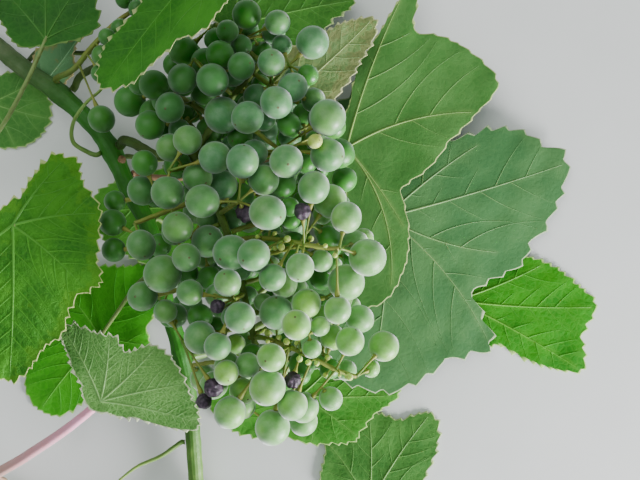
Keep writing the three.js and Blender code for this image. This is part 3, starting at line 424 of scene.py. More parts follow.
# Face of a leaf: two greens in clouds, paler by the main veins, a network of small veins, patches that gather
# near the margin (brown wear on some leaves, a bright green painted glow of sunlight through the blade on the
# left leaf), and a pale line along the margin
def makeBlade(name, look):
    material, tree, shader, place = startMaterial(name)
    clouds = noise(tree, place, look["cloudScale"], 4, 0.55)
    grain = noise(tree, place, bladeFinish["grainCells"], 3)
    small = network(tree, place, look["cells"])
    tiny = network(tree, place, look["cells"] * bladeFinish["tinyCells"])
    fromEdge = mark(tree, "fromEdge")
    colour = layer(tree, look["dark"], look["light"], clouds, 0.35, 0.66)
    colour = layer(tree, colour, look["light"], grain, 0.4, 0.75, 0.0, 0.25)
    colour = layer(tree, colour, look["vein"], small, 0.02, 0.16, look["net"], 0.0)
    colour = layer(tree, colour, look["vein"], tiny, 0.02, 0.12, look["net"] / 2, 0.0)
    glow = calculate(tree, "MULTIPLY", mark(tree, "vein"), look["glow"])
    colour = mixColours(tree, glow, colour, look["vein"])
    # patches near the margin: brown wear on some leaves, a painted glow of sunlight through the blade on
    # others
    if "worn" in look:
        patches = noise(tree, place, look["wornScale"], 5, 0.62)
        near = between(tree, fromEdge, 0.0, look["wornReach"], 0.22, 0.0)
        patches = calculate(tree, "ADD", patches, near)
        ends = (look["wornFrom"], look["wornFrom"] + bladeFinish["wornEdge"], 0.0, look["wornShare"])
        colour = layer(tree, colour, look["worn"], patches, *ends)
    colour = layer(tree, colour, look["margin"], fromEdge, 0.25, look["rimWidth"], look["rim"], 0.0)
    feed(tree, colour, shader.inputs["Base Color"])
    dull = between(tree, clouds, 0.3, 0.7, look["roughness"] - 0.05, look["roughness"] + 0.08)
    feed(tree, dull, shader.inputs["Roughness"])
    shader.inputs["Specular IOR Level"].default_value = look["gloss"]
    shader.inputs["Sheen Weight"].default_value = look["sheen"]
    shader.inputs["Sheen Roughness"].default_value = 0.5
    relief = bump(tree, small, look["relief"], 0.0006)
    relief = bump(tree, tiny, look["relief"], 0.0003, Normal=relief)
    feed(tree, bump(tree, grain, 0.25, 0.0002, Normal=relief), shader.inputs["Normal"])
    return material


# Shoots

shootSizes = {
    "thick": 4.3, "thin": 3.3, "nodes": (0.05, 0.249, 0.377, 0.705, 0.957), "swelling": 0.8,
    "nodeReach": 0.018, "sideShoot": 2.1,
    "bud": ((-86.2, 36.8, 22), (-90.6, 33.4, 22.6), 4.2),      # foot, tip and width
}
mainShoot = {
    "path": [
        (-175, 108, 4.7), (-155, 94, 6.5), (-132, 76, 11), (-117.5, 66, 15), (-96.5, 45.5, 19),
        (-84.5, 21.5, 21), (-77, 8, 21), (-72, -9, 20), (-69, -27, 19), (-62.5, -50, 16.5),
        (-59, -72, 13.5), (-57, -108, 7.5), (-55.5, -134, 4.1),
    ],
    "radiusAt": jointedTaper(shootSizes["thick"], shootSizes["thin"], shootSizes["nodes"],
                             shootSizes["swelling"], shootSizes["nodeReach"]),
}
leftShoot = {
    "path": [*rootOn(mainShoot, 0.05, (-0.3, -1, -0.1)), (-167, 70, 4.5), (-167, 40, 6), (-163, 10, 9),
             (-158, -10, 12)],
    "radiusAt": taper(shootSizes["sideShoot"], 1.5),
}
hiddenShoot = {
    "path": [*rootOn(mainShoot, 0.72, (1, 0, -0.9)), (-48, -50, 6), (-25, -38, 4.2), (-4, -25, 4)],
    "radiusAt": taper(shootSizes["sideShoot"], 1.4),
}
lowerShoot = {
    "path": [*rootOn(mainShoot, 0.957, (-1, 0, 0)), (-85, -132, 4.4), (-122, -126, 4.6), (-150, -111, 6)],
    "radiusAt": taper(shootSizes["sideShoot"], 1.6),
}
bunchStalk = {
    "path": [*rootOn(mainShoot, 0.377, (0.8, 0.5, 0.6)), (-85, 43.2, 30), (-80, 41.5, 36), (-74, 38.4, 42),
             (-66, 34.5, 50), (-58, 35.4, 57), (-51, 34, 60), (-42, 16, 60), (-34, -8, 60), (-28, -32, 60),
             (-23, -58, 60)],
    "radiusAt": taper(2.2, 1.1),
}
shoulder = {
    "path": [(-51, 33, 60), (-44, 44, 61), (-37, 54, 63), (-23, 71, 62)],
    "radiusAt": taper(1.5, 1.1),
}

shootSkin = makeStemSkin("shootSkin", (38, 106, 16), (98, 134, 58), (28, 80, 12), 0.55, old=(106, 106, 82))
sideShootSkin = makeStemSkin("sideShootSkin", (88, 120, 54), (110, 132, 70), (62, 84, 38))
stalkSkin = makeStemSkin("bunchStalkSkin", (40, 74, 12), (100, 130, 46), (44, 46, 16), 0.6)
twigSkin = makeStemSkin("twigSkin", (74, 116, 34), (136, 146, 62), (112, 92, 48), streak=0.35)
budSkin = makeDriedSkin("budSkin", (96, 70, 42), (150, 120, 80), 900, 0.7)
tendrilSkin = makeStemSkin("tendrilSkin", (76, 112, 44), (132, 166, 84), (92, 118, 50))


# An egg shape between two points: radius is the sine of the way along, fuller near its root
def budShape(foot, tip, width, part=0):
    foot, tip = np.asarray(foot, float), np.asarray(tip, float)
    along = np.linspace(0.02, 0.98, 12)
    angle = roundAngles(16)
    ways = waysRound(*squareTo(unit(tip - foot), [0.2, 0.1, 1]), angle)
    radius = width / 2 * np.sin(np.pi * along ** 0.75)
    scales = 1 + 0.06 * np.cos(2 * angle)[None] * np.sin(9 * along)[:, None]
    centre = foot + (tip - foot) * along[:, None]
    return gridShape(centre[:, None] + ways[None] * (radius[:, None] * scales)[..., None], part)


def shootTone(along):
    # pale green towards the thin end
    return np.clip((np.asarray(along) - 0.72) / 0.2, 0, 1)


def shootAge(along):
    # brownish towards the thick end
    return np.clip(1.15 - np.asarray(along) / 0.26, 0, 1)


def dressShoots():
    main = limbShape(*mainShoot.values(), "shoot", 3, tone=shootTone, age=shootAge)
    bud = budShape(*shootSizes["bud"], part=1)
    addPiece("main_shoot_skin", [main, bud], [shootSkin, budSkin], ["main_shoot"])
    for name, shoot, seed in (("left", leftShoot, 5), ("hidden", hiddenShoot, 6), ("lower", lowerShoot, 7)):
        shape = limbShape(*shoot.values(), "side shoot", seed)
        addPiece(f"{name}_side_shoot_skin", [shape], [sideShootSkin], [f"{name}_side_shoot"])
    shapes = [limbShape(*bunchStalk.values(), "bunch stalk", 8),
              limbShape(*shoulder.values(), "shoulder", 9, tone=taper(0.5, 1))]
    addPiece("bunch_stalk_skin", shapes, [stalkSkin], ["bunch_stalk"])


# Leaves: a disc bent to its margin, on a stalk

# Look of a leaf's face: the four colours, and what a leaf tells otherwise than here
def leafLook(dark, light, vein, margin, **more):
    look = {
        "cloudScale": 45, "cells": 330, "net": 0.15, "glow": 0.3, "relief": 0.3, "wornScale": 120,
        "wornReach": 10, "rim": 0.85, "rimWidth": 0.8, "roughness": 0.7, "gloss": 0.12, "sheen": 0.05,
        "sideTone": 0.55,
    }
    return {**look, "dark": dark, "light": light, "vein": vein, "margin": margin, **more}


# What a leaf measures where it doesn't tell otherwise. Margin: degrees and reach of each tip and
# notch, from the foot. Veins: degrees, share of the way to the margin, and bend of each main vein.
# Root: the shoot that carries it, where along that, and which way it leaves
plainLeaf = {
    "thickness": 0.9, "slope": (0, 0), "cup": 0, "ripple": 0.3, "phase": 0, "fold": 0, "foldSide": (0, 0),
    "stalkRadius": 1.3, "stalkBelow": 0, "stalkLook": "green", "slot": "bright_leaf", "toothPitch": 4.6,
    "toothDepth": 1.9, "veinSpacing": 8.5, "wideVein": 1,
}
leaves = {
    "right_leaf": dict(
        foot=(30, 10.5, 8), size=85, thickness=1.8, slope=(-0.045, 0), cup=-1.8, ripple=0.8, phase=0.6,
        margin=[(17, 88), (-3, 75), (-9, 69.5), (-18, 66.5), (-40, 53), (-50, 76), (-65, 72), (-87, 80),
                (-109, 77), (-126, 70), (-150, 34), (180, 10), (150, 32), (118, 52), (83, 70), (62, 52),
                (50, 47), (36, 70), (25, 81)],
        root=(mainShoot, 0.69, (1, 0.2, -0.1)), stalk=[(-35, -30, 12), (-8, -9, 9.5), (15, 3, 9)],
        veins=[(16.5, 0.97, 2.5), (38, 0.8, -6), (83, 0.95, 6), (-17.5, 0.8, 13), (-50, 0.96, -14),
               (-95, 0.93, -8), (-140, 0.85, 0)],
        look=leafLook((58, 107, 58), (74, 120, 66), (126, 164, 98), (176, 192, 148), net=0.02, glow=0.2,
                      sheen=0.08, relief=0.18, sideTone=0.6, rim=0.75, rimWidth=0.6),
        slot="blue_green_leaf", bulge=-0.12, toothPitch=10, toothDepth=3.4, veinSpacing=15, wideVein=0.75,
    ),
    "centre_leaf": dict(
        foot=(12, 41.5, 14), size=80, thickness=1.6, cup=0.6, ripple=0.6, phase=2,
        margin=[(67, 81), (61, 62), (50, 66), (38, 71), (22.5, 74), (14.5, 60), (4.5, 47), (-11.5, 39),
                (-32, 31.5), (-41, 33.5), (-56, 50), (-64, 60), (-76, 71), (-86, 71), (-95, 58), (-106, 36),
                (-125, 18), (170, 6), (110, 8), (86, 20), (82, 38), (75, 52)],
        root=(mainShoot, 0.42, (1, -0.1, -0.4)), stalk=[(-75, 28, 18), (-50, 29, 15.5), (-15, 37, 15)],
        veins=[(70, 0.97, -6), (16, 0.93, -16), (-72, 0.95, -24), (-54, 0.9, -6), (-88, 0.9, 4)],
        look=leafLook((58, 111, 44), (77, 127, 60), (144, 176, 92), (180, 196, 124), net=0.03, glow=0.25,
                      sheen=0.08, relief=0.2, sideTone=0.62, rim=0.75, rimWidth=0.6),
        stalkLook="pinkBrown", slot="pale_veined_leaf", bulge=-0.16, toothPitch=7, toothDepth=1.1,
        veinSpacing=16, wideVein=0.75,
    ),
    "small_top_leaf": dict(
        foot=(-13.5, 64, 22), size=48, slope=(0.06, 0.04), ripple=0.6, phase=1,
        margin=[(40, 50), (50, 43), (60, 32), (90, 20), (150, 8), (-130, 6), (-40, 14), (5, 23), (24, 34)],
        root=(mainShoot, 0.39, (1, 0.2, -0.9)), stalk=[(-70, 37, 13.5), (-45, 49, 17)], stalkRadius=1,
        veins=[(42, 0.95, 4), (75, 0.8, 6), (5, 0.8, -5)],
        look=leafLook((90, 128, 66), (112, 144, 88), (150, 164, 98), (186, 190, 140), net=0.3, glow=0.5,
                      cells=380, relief=0.5, worn=(132, 116, 76), wornFrom=0.54, wornShare=0.4,
                      wornScale=160),
        slot="browned_leaf", bulge=-0.4,
    ),
    "upper_front_leaf": dict(
        foot=(-40.5, 103, 90), size=60, thickness=1.2, cup=-4, ripple=0.7, fold=0.8,
        foldSide=(0.743, -0.669),
        margin=[(-52, 18.5), (-63, 20.5), (-80, 24.5), (-87, 29), (-100, 32), (-107, 34), (-115, 44),
                (-120.5, 55), (-128.5, 61), (-133, 61), (-136, 58), (-141, 50), (-145, 33), (-155, 29),
                (-170, 42), (175, 45), (150, 34), (110, 26), (75, 14), (50, 5), (20, 12), (-15, 18)],
        root=(mainShoot, 0.262, (1, 0.6, 0.1)),
        stalk=[(-104, 73, 25), (-88, 79.5, 30), (-74, 85, 36), (-60, 91, 55), (-49, 98, 79)],
        stalkRadius=1.5,
        veins=[(-129, 0.96, 5), (-98, 0.92, -8), (-62, 0.9, -10), (176, 0.94, 6), (128, 0.9, 8)],
        look=leafLook((30, 96, 14), (58, 130, 28), (70, 136, 38), (176, 186, 124), net=0.15, glow=0.2,
                      relief=0.45, gloss=0.22, sheen=0.0, sideTone=0.8, rimWidth=0.6),
        stalkLook="dark", slot="dark_leaf", bulge=0.5, wideVein=0.85,
    ),
    "top_left_leaf": dict(
        foot=(-117, 85.5, 36), size=45, thickness=1, slope=(0.03, 0.05), ripple=0.8, phase=3,
        margin=[(12, 23), (35, 27), (60, 38), (90, 44), (115, 40), (140, 36), (160, 20), (175, 16),
                (192, 12), (225, 4), (-45, 4), (-10, 8)],
        root=(leftShoot, 0.55, (1, 0, 0.6)), stalk=[(-150, 38, 24), (-137, 50, 31), (-125, 69, 35)],
        stalkRadius=1,
        veins=[(92, 0.95, 4), (55, 0.92, -6), (132, 0.92, 6), (22, 0.85, -8)],
        look=leafLook((30, 84, 22), (44, 106, 30), (72, 126, 46), (112, 142, 74), net=0.15, glow=0.25,
                      relief=0.45, gloss=0.22, sheen=0.0),
        slot="dark_leaf", bulge=0.4,
    ),
    "left_leaf": dict(
        foot=(-124, 6, 56), size=60, thickness=1.2, slope=(0, 0.03), cup=-3, ripple=0.8, phase=1.4,
        margin=[(61, 32), (74, 12), (165, 10), (188, 34), (215, 40), (240, 46), (267, 64), (284, 51),
                (292, 49), (305, 40), (317, 39.5), (326, 42), (338, 36.5), (353, 35), (11, 35.7),
                (32, 33.2), (45, 37), (53, 35)],
        root=(leftShoot, 0.93, (1, 0.3, 0.6)), stalk=[(-150, 1, 30), (-140, 5, 46)],
        veins=[(267, 0.97, -4), (318, 0.95, -8), (8, 0.94, -8), (52, 0.9, -8), (222, 0.9, 8)],
        # its patches near the margin are bright green: a painted glow of sunlight shining through the blade
        look=leafLook((32, 100, 12), (62, 132, 24), (74, 138, 40), (190, 204, 128), net=0.2, glow=0.15,
                      cloudScale=60, relief=1.0, worn=(84, 142, 20), wornFrom=0.6, wornShare=0.45,
                      wornScale=150, wornReach=9, sideTone=0.9, rimWidth=0.6, gloss=0.22, sheen=0.0),
        bulge=0.8, toothDepth=2.4, veinSpacing=7, wideVein=1.2,
    ),
    "young_leaf": dict(
        foot=(-92.5, -68, 40), size=42, slope=(0.05, 0.02), ripple=0.7, phase=0.3,
        margin=[(120, 36), (91, 29), (78, 28.5), (62, 24), (47, 33), (27, 36), (5, 38.5), (-9, 42.5),
                (-18, 40), (-25, 17), (-60, 6), (200, 6), (140, 11), (126, 24)],
        root=(lowerShoot, 0.96, (-0.2, 0.7, 0.7)),
        stalk=[(-145, -105, 20), (-128, -94, 32), (-108, -80.5, 38)], stalkRadius=2.2, stalkBelow=2.4,
        veins=[(118, 0.94, 8), (82, 0.95, 6), (44, 0.96, 5), (12, 0.95, -3), (-12, 0.96, -6)],
        look=leafLook((54, 112, 34), (92, 144, 66), (126, 170, 98), (206, 214, 176), net=0.26, cells=560,
                      relief=1.0, cloudScale=34, sheen=0.12, sideTone=0.3, rimWidth=0.9),
        stalkLook="pink", slot="young_leaf", bulge=0.6, toothPitch=3.6, toothDepth=2.0, veinSpacing=4.4,
    ),
    "shade_leaf": dict(
        foot=(-102, -45, 2.2), size=44, cup=-2.2,
        margin=[(74, 34), (51, 41), (33, 32), (10, 22), (-14, 24), (-60, 22), (-100, 28), (-120, 43),
                (-143, 44), (-165, 34), (160, 30), (125, 32)],
        root=(mainShoot, 0.58, (-1, -0.3, -0.5)), stalk=[(-83, -20.5, 14), (-92.5, -32.5, 8.5)],
        stalkRadius=0.9,
        veins=[(56, 0.94, 4), (-130, 0.94, 5), (175, 0.92, 6), (128, 0.9, 6), (-70, 0.9, 4), (-10, 0.9, 3)],
        look=leafLook((46, 136, 14), (64, 158, 26), (98, 172, 56), (150, 190, 100), net=0.1, sideTone=0.8),
        bulge=-0.3,
    ),
    "corner_leaf": dict(
        foot=(-154, 64, 0), size=30, thickness=0.8, ripple=0.2,
        margin=[(31, 23), (5, 27.5), (-18, 29), (-43, 27), (-74, 22), (-110, 18), (180, 5), (90, 10)],
        root=(leftShoot, 0.3, (1, 0, -0.4)), stalk=[(-160, 64, 1.8)], stalkRadius=0.8,
        veins=[(-15, 0.95, 4), (-60, 0.92, -6), (26, 0.9, 5)],
        look=leafLook((56, 110, 44), (78, 134, 56), (112, 156, 80), (150, 176, 110), net=0.12),
        bulge=-0.2,
    ),
    "spotted_leaf": dict(
        foot=(-127, 72.5, 5.4), size=30, thickness=0.8, slope=(0.04, 0.03), ripple=0.2,
        margin=[(-14, 7), (12, 12.5), (25, 17), (36, 17.5), (44, 19), (48, 22.5), (52, 28), (58, 24),
                (70, 20), (85, 17.5), (103, 16), (116, 12), (140, 7), (180, 4), (-120, 3.5), (-50, 4.5)],
        root=(mainShoot, 0.185, (0.1, 0.1, -1)), stalk=[(-128.5, 74, 6)], stalkRadius=0.8,
        veins=[(52, 0.94, 3), (100, 0.92, -5), (22, 0.9, 5)],
        look=leafLook((88, 138, 88), (108, 158, 106), (126, 172, 118), (178, 164, 118), net=0.08,
                      worn=(166, 150, 84), wornFrom=0.62, wornShare=0.6, wornScale=150, wornReach=5),
        slot="blue_green_leaf", bulge=-0.2,
    ),
    "top_middle_leaf": dict(
        foot=(-38, 98, 10), size=50, slope=(0, 0.02), cup=-0.6, ripple=0.4, phase=1.5,
        margin=[(11, 55), (2, 43), (-15, 38), (-40, 34), (-75, 26), (-110, 20), (-150, 12), (180, 8),
                (150, 16), (110, 24), (75, 29), (50, 37), (32, 44), (20, 50)],
        root=(mainShoot, 0.16, (0.2, 0.6, -1)),
        stalk=[(-128, 89, 2.6), (-108, 87, 2.4), (-80, 93, 8), (-55, 97, 10)], stalkRadius=1,
        veins=[(12, 0.96, -3), (50, 0.94, 6), (-36, 0.94, -6), (-80, 0.9, -6), (92, 0.9, 6)],
        look=leafLook((40, 92, 26), (58, 116, 38), (90, 140, 56), (150, 170, 110), relief=0.35, glow=0.4),
        stalkLook="dark", slot="dark_leaf", bulge=-0.4,
    ),
    "behind_leaf": dict(
        foot=(-40, 15, 6), size=66, phase=0.8,
        margin=[(-2, 34), (-30, 40), (-60, 41), (-90, 44), (-114, 42), (-135, 44), (-150, 50), (-164, 60),
                (180, 66), (170, 59), (160, 42), (136, 34), (112, 38), (90, 48), (62, 49), (30, 43)],
        root=(mainShoot, 0.5, (1, 0, -0.8)), stalk=[(-67, 6, 12), (-54, 10, 8.5)], stalkRadius=0.9,
        veins=[(88, 0.95, 4), (40, 0.94, 6), (-30, 0.94, -4), (-85, 0.94, -4), (-178, 0.95, 4)],
        look=leafLook((46, 110, 26), (70, 136, 42), (100, 156, 62), (150, 180, 110), relief=0.35, glow=0.4),
        bulge=-0.3,
    ),
    "under_leaf": dict(
        foot=(-9, -72, 2.4), size=46, cup=-0.3,
        margin=[(2, 46), (-14, 36), (-30, 33), (-40, 33), (-60, 26), (-110, 21), (-140, 30), (-165, 41),
                (175, 42), (154, 39), (135, 24), (105, 14), (70, 18), (25, 36)],
        root=(hiddenShoot, 0.65, (0.3, -1, -0.3)), stalk=[(-19, -52, 2.6), (-14, -62, 2)], stalkRadius=0.9,
        veins=[(0, 0.95, 4), (-36, 0.92, -5), (-75, 0.9, -6), (45, 0.9, 6), (174, 0.94, 5),
               (-142, 0.9, -5)],
        look=leafLook((42, 114, 24), (66, 138, 36), (106, 160, 68), (150, 186, 100), net=0.15, relief=0.35),
        bulge=-0.25,
    ),
    "lower_right_leaf": dict(
        foot=(63, -28, 0.4), size=66, cup=-0.4, ripple=0.2,
        margin=[(24, 45), (8, 57), (-2, 66), (-15, 62), (-29, 68), (-36, 54), (-45, 30), (-80, 20),
                (180, 5), (110, 18), (60, 22), (40, 33)],
        root=(hiddenShoot, 1, (1, 0, 0)), stalk=[(20, -18, 2.6), (42, -22, 2.2)], stalkRadius=0.9,
        veins=[(-3, 0.96, 5), (-29, 0.95, -4), (22, 0.92, 6), (-62, 0.85, -5), (70, 0.85, 5)],
        look=leafLook((24, 110, 2), (44, 134, 8), (96, 160, 42), (176, 206, 120), net=0.12, sideTone=0.7),
        bulge=-0.2,
    ),
    "bottom_leaf": dict(
        foot=(23, -123, 1), size=50, cup=-1,
        margin=[(53, 51), (70, 42), (89, 43), (113, 41), (135, 30), (160, 24), (190, 10), (-90, 6),
                (-20, 20), (24, 28)],
        root=(mainShoot, 0.94, (1, 0, -0.1)), stalk=[(-35, -128, 3.5), (-5, -127, 2.5)], stalkRadius=1.1,
        veins=[(56, 0.95, -6), (90, 0.94, 5), (124, 0.92, 6), (22, 0.9, -6)],
        look=leafLook((44, 98, 32), (66, 120, 46), (104, 150, 70), (176, 196, 130), net=0.12),
        bulge=-0.25,
    ),
}

leaves = {name: {**plainLeaf, **leaf} for name, leaf in leaves.items()}

leafSizes = {
    "ripples": 5,              # waves of the blade round its stalk
    "leastReach": 2.0,
    "stalkSunk": 1.5,          # how far the stalk runs on into the blade
    "stalkEnds": (1.1, 0.85),  # radii of the dressed stalk, over the leaf's own
    "sheet": 0.5,              # thickness of the blade
    "rimThin": 0.35,           # of that, at the very margin
    "puckers": 0.18,           # height of the soft dents all over, and their size
    "puckerSize": 14,
    "flatFoot": 0.25,          # share of bulge and puckers that is left at the foot
    "ringStep": 1.9,           # distance between the rings of the blade's mesh
    "toothFull": 14,           # teeth are cut in full where the margin is this far from the foot
    "toothCuts": (0.04, 0.18, 0.32, 0.46, 0.6, 0.76, 0.86, 0.94),   # mesh points along a tooth
    "toothPeak": 5,            # which of them is its tip
    "veinWidth": 1.25,         # of a main vein at the foot, on a blade of 80 mm
    "mainVein": (8, 1.0, 0.25),     # corners round a vein, its width at the foot and at its end,
    "sideVein": (6, 0.5, 0.14),     # both over the width above
    "sideStep": 1.1,           # between the points of a side vein
    "sideEnd": 0.965,          # share of the way to the margin at which it ends
    "veinAngle": 50.0,         # between a side vein and its main vein
    "veinTurn": 0.9,           # how far a side vein bends forward, radians over a main vein's length
    "hollow": 2.6,             # how far from a vein the blade reaches its full bulge
    "mainGlow": 1.1,           # how far the paler colour of a vein reaches
    "sideGlow": 0.8,
}


# Reach of the margin in a direction, mm: a smooth closed cubic through the tips and notches
def marginReach(margin, degrees):
    given = np.array(sorted(margin), float)
    count = len(given)
    turned = (np.asarray(degrees, float) - given[0, 0]) % 360 + given[0, 0]
    index = np.clip(np.searchsorted(given[:, 0], turned, side="right") - 1, 0, count - 1)
    nextAngle = np.where(index + 1 < count, given[(index + 1) % count, 0], given[0, 0] + 360)
    t = (turned - given[index, 0]) / (nextAngle - given[index, 0])
    reaches = [given[(index + k) % count, 1] for k in (-1, 0, 1, 2)]
    return np.maximum(cubic(*reaches, t), leafSizes["leastReach"])


# Height of the blade: slope, cup by the square of the way out, a fold to one side, and waves
def bladeHeight(leaf, x, y):
    far = np.hypot(x, y) / leaf["size"]
    height = leaf["foot"][2] + leaf["slope"][0] * x + leaf["slope"][1] * y + leaf["cup"] * far ** 2
    height = height + leaf["fold"] * np.maximum(0, x * leaf["foldSide"][0] + y * leaf["foldSide"][1])
    waves = np.sin(leafSizes["ripples"] * np.arctan2(y, x) + leaf["phase"])
    return np.maximum(height + leaf["ripple"] * far ** 2 * waves, 0)


# Main vein: the way out to its tip on the margin, turning by its bend as it goes
def mainVein(leaf, angle, share, bend):
    s = np.linspace(0, 1, 48)
    turned = np.radians(angle - bend * (1 - s))
    return fromPolar(s * share * marginReach(leaf["margin"], angle), turned)


def leastDistance(points, line):
    return np.sqrt(((points[:, None] - line[None]) ** 2).sum(axis=2)).min(axis=1)


# Points of a line at places that are counted in its own points
def pointsOf(line, places):
    return np.stack([np.interp(places, np.arange(len(line)), column) for column in line.T], axis=-1)


# Side veins: they leave a main vein by turns to both sides, bend forward, and stop before the
# margin or halfway to the next main vein
def sideVeins(leaf, mains):
    step, spacing = leafSizes["sideStep"], leaf["veinSpacing"]
    reach = np.arange(60) * step
    found = []
    for own, line in enumerate(mains):
        length = np.linalg.norm(line[-1])
        others = np.concatenate([m for k, m in enumerate(mains) if k != own])
        for number in range(2, int(2 * length / spacing) - 1):
            start = number * spacing / 2 / length * (len(line) - 1)
            k = min(int(start), len(line) - 2)
            ahead = math.atan2(*(line[k + 1] - line[k])[::-1])
            aside = math.radians(leafSizes["veinAngle"]) - reach / length * leafSizes["veinTurn"]
            steps = fromPolar(step, ahead + (1 if number % 2 else -1) * aside)
            way = pointsOf(line, start) + np.cumsum(steps, axis=0) - steps[0]
            bearing = np.degrees(np.arctan2(way[:, 1], way[:, 0]))
            share = np.hypot(*way.T) / marginReach(leaf["margin"], bearing)
            nearOther = leastDistance(way, others) < 0.8 * leastDistance(way, line) + 0.6
            stopped = (share > leafSizes["sideEnd"]) | (nearOther & (reach > 3))
            end = int(np.argmax(stopped)) if stopped.any() else len(way)
            if end > 4:
                found.append(pointsOf(way[:end], np.linspace(0, end - 1, 18)))
    return found


# Distance to the nearest of the given vein points, on a square grid of one cell per millimetre
def veinField(leaf, line):
    half = int(leaf["size"] * 1.15) + 4
    axis = np.arange(-half, half + 1, dtype=np.float32)
    line = line.astype(np.float32)
    rows = [np.sqrt(((line[:, 0][None] - axis[:, None]) ** 2 + (line[:, 1] - y)[None] ** 2).min(axis=1))
            for y in axis]
    return half, np.array(rows)


def sampleField(field, x, y):
    half, grid = field
    u, v = np.clip(x + half, 0, 2 * half - 0.001), np.clip(y + half, 0, 2 * half - 0.001)
    i, j = u.astype(int), v.astype(int)
    a, b = u - i, v - j
    return ((grid[j, i] * (1 - a) + grid[j, i + 1] * a) * (1 - b)
            + (grid[j + 1, i] * (1 - a) + grid[j + 1, i + 1] * a) * b)


# Height of the blade's middle: the plain blade, bulging up or down between its veins
def dressedHeight(leaf, x, y):
    away = sampleField(leaf["allField"], x, y)
    bulge = leaf["bulge"] * (1 - np.exp(-(away / leafSizes["hollow"]) ** 2))
    puckers = leafSizes["puckers"] * softNoise(np.stack([x, y, x * 0], axis=-1), leafSizes["puckerSize"], 11)
    rim = np.clip(np.hypot(x, y) / marginReach(leaf["margin"], np.degrees(np.arctan2(y, x))), 0, 1)
    share = leafSizes["flatFoot"] + (1 - leafSizes["flatFoot"]) * rim
    height = bladeHeight(leaf, x, y) + leaf["thickness"] / 2 + (bulge + puckers) * share
    return np.maximum(height, leafSizes["sheet"] / 2 + 0.03)


# Teeth of a margin: where its points stand along the margin, and how far each is out. A tooth
# rises slowly towards the tip of its lobe and falls fast behind it
def cutTeeth(leaf, round_, reach, seed):
    draw = np.random.default_rng(seed)
    count = int(round_[-1] / leaf["toothPitch"])
    width = draw.uniform(0.6, 1.4, count)
    width = width / width.sum() * round_[-1]
    start = np.concatenate([[0], np.cumsum(width)[:-1]])
    cuts = np.array(leafSizes["toothCuts"])
    peak = cuts[leafSizes["toothPeak"]]
    rise = np.where(cuts <= peak, cuts / peak, (1 - cuts) / (1 - peak)) ** 1.15
    ends = [np.interp(place, round_, reach) for place in (start, start + width)]
    forward = (ends[1] >= ends[0])[:, None]
    part = np.where(forward, cuts[None], 1 - cuts[None, ::-1])
    height = np.where(forward, rise[None], rise[None, ::-1])
    size = draw.uniform(0.35, 1.15, count) * width / width.mean()
    run = start[:, None] + width[:, None] * part
    depth = leaf["toothDepth"] * size[:, None] * (height - 0.4)
    return run.ravel(), depth.ravel()


# Blade: rings from the foot to the margin on the underside and back on the upper side
def bladeShape(leaf, seed):
    dense = np.linspace(-np.pi, np.pi, 2001)
    reach = marginReach(leaf["margin"], np.degrees(dense))
    round_ = runAlong(fromPolar(reach, dense))
    run, depth = cutTeeth(leaf, round_, reach, seed)
    angle = np.interp(run, round_, dense)
    reach = marginReach(leaf["margin"], np.degrees(angle))
    margin = fromPolar(reach, angle)
    ahead = unit(np.roll(margin, -1, axis=0) - np.roll(margin, 1, axis=0))
    outward = np.stack([ahead[:, 1], -ahead[:, 0]], axis=1)
    tooth = (depth * np.clip(reach / leafSizes["toothFull"], 0, 1))[:, None] * outward
    rings = max(14, int(reach.max() / leafSizes["ringStep"]))
    ring = np.linspace(0.02, 1, rings)
    ring = np.concatenate([ring[:-1], [1 - 0.55 / rings, 1 - 0.22 / rings, 1.0]])
    flat = ring[:, None, None] * margin[None] + (ring ** 14)[:, None, None] * tooth[None]
    x, y = flat[..., 0], flat[..., 1]
    middle = dressedHeight(leaf, x, y)
    thin = leafSizes["sheet"] / 2 * np.where(ring > 0.999, leafSizes["rimThin"], 1)[:, None]
    under = np.stack([x, y, middle - thin], axis=-1)
    over = np.stack([x, y, middle + thin], axis=-1)[::-1]
    points = np.concatenate([under, over]) + np.array([*leaf["foot"][:2], 0])
    glow = np.exp(-(sampleField(leaf["mainField"], x, y) / leafSizes["mainGlow"]) ** 2)
    sideGlow = np.exp(-(sampleField(leaf["allField"], x, y) / leafSizes["sideGlow"]) ** 2)
    glow = np.maximum(glow, 0.3 * sideGlow)
    slant = np.abs((margin * outward).sum(axis=1))        # the margin's distance, square to its run
    away = np.minimum((1 - ring)[:, None] * np.maximum(slant, 0.25 * reach)[None], 30)
    marks = {"vein": np.concatenate([glow, glow[::-1]]), "fromEdge": np.concatenate([away, away[::-1]])}
    return gridShape(points, 0, marks=marks)


# Veins: flattened rods, half sunk in the upper face of the blade
def veinShape(leaf, lines, kind, fromTone, toTone):
    sides, foot, end = leafSizes[kind]
    scale = math.sqrt(leaf["size"] / 80) * leafSizes["veinWidth"] * leaf["wideVein"]
    line = np.array(lines)
    s = np.linspace(0, 1, line.shape[1])
    x, y = line[..., 0], line[..., 1]
    ahead = unit(np.gradient(line, axis=1))
    side = np.stack([-ahead[..., 1], ahead[..., 0], 0 * x], axis=-1)
    ways = waysRound(side, np.array([0, 0, 0.8]), roundAngles(sides))
    half = scale * taper(foot, end)(s) / 2
    z = dressedHeight(leaf, x, y) + leafSizes["sheet"] / 2
    centre = np.stack([x + leaf["foot"][0], y + leaf["foot"][1], z], axis=-1)
    points = centre[:, :, None] + half[None, :, None, None] * ways
    tone = fromTone + (toTone - fromTone) * s[None, :, None]
    return gridShape(points, 1, marks={"tone": tone})


# Stalk of a leaf as the rule of the source has it, in chords for the grapes to keep clear of
def stalkChords(leaf):
    return chords([*rootOn(*leaf["root"]), *leaf["stalk"], leaf["foot"]], 12)


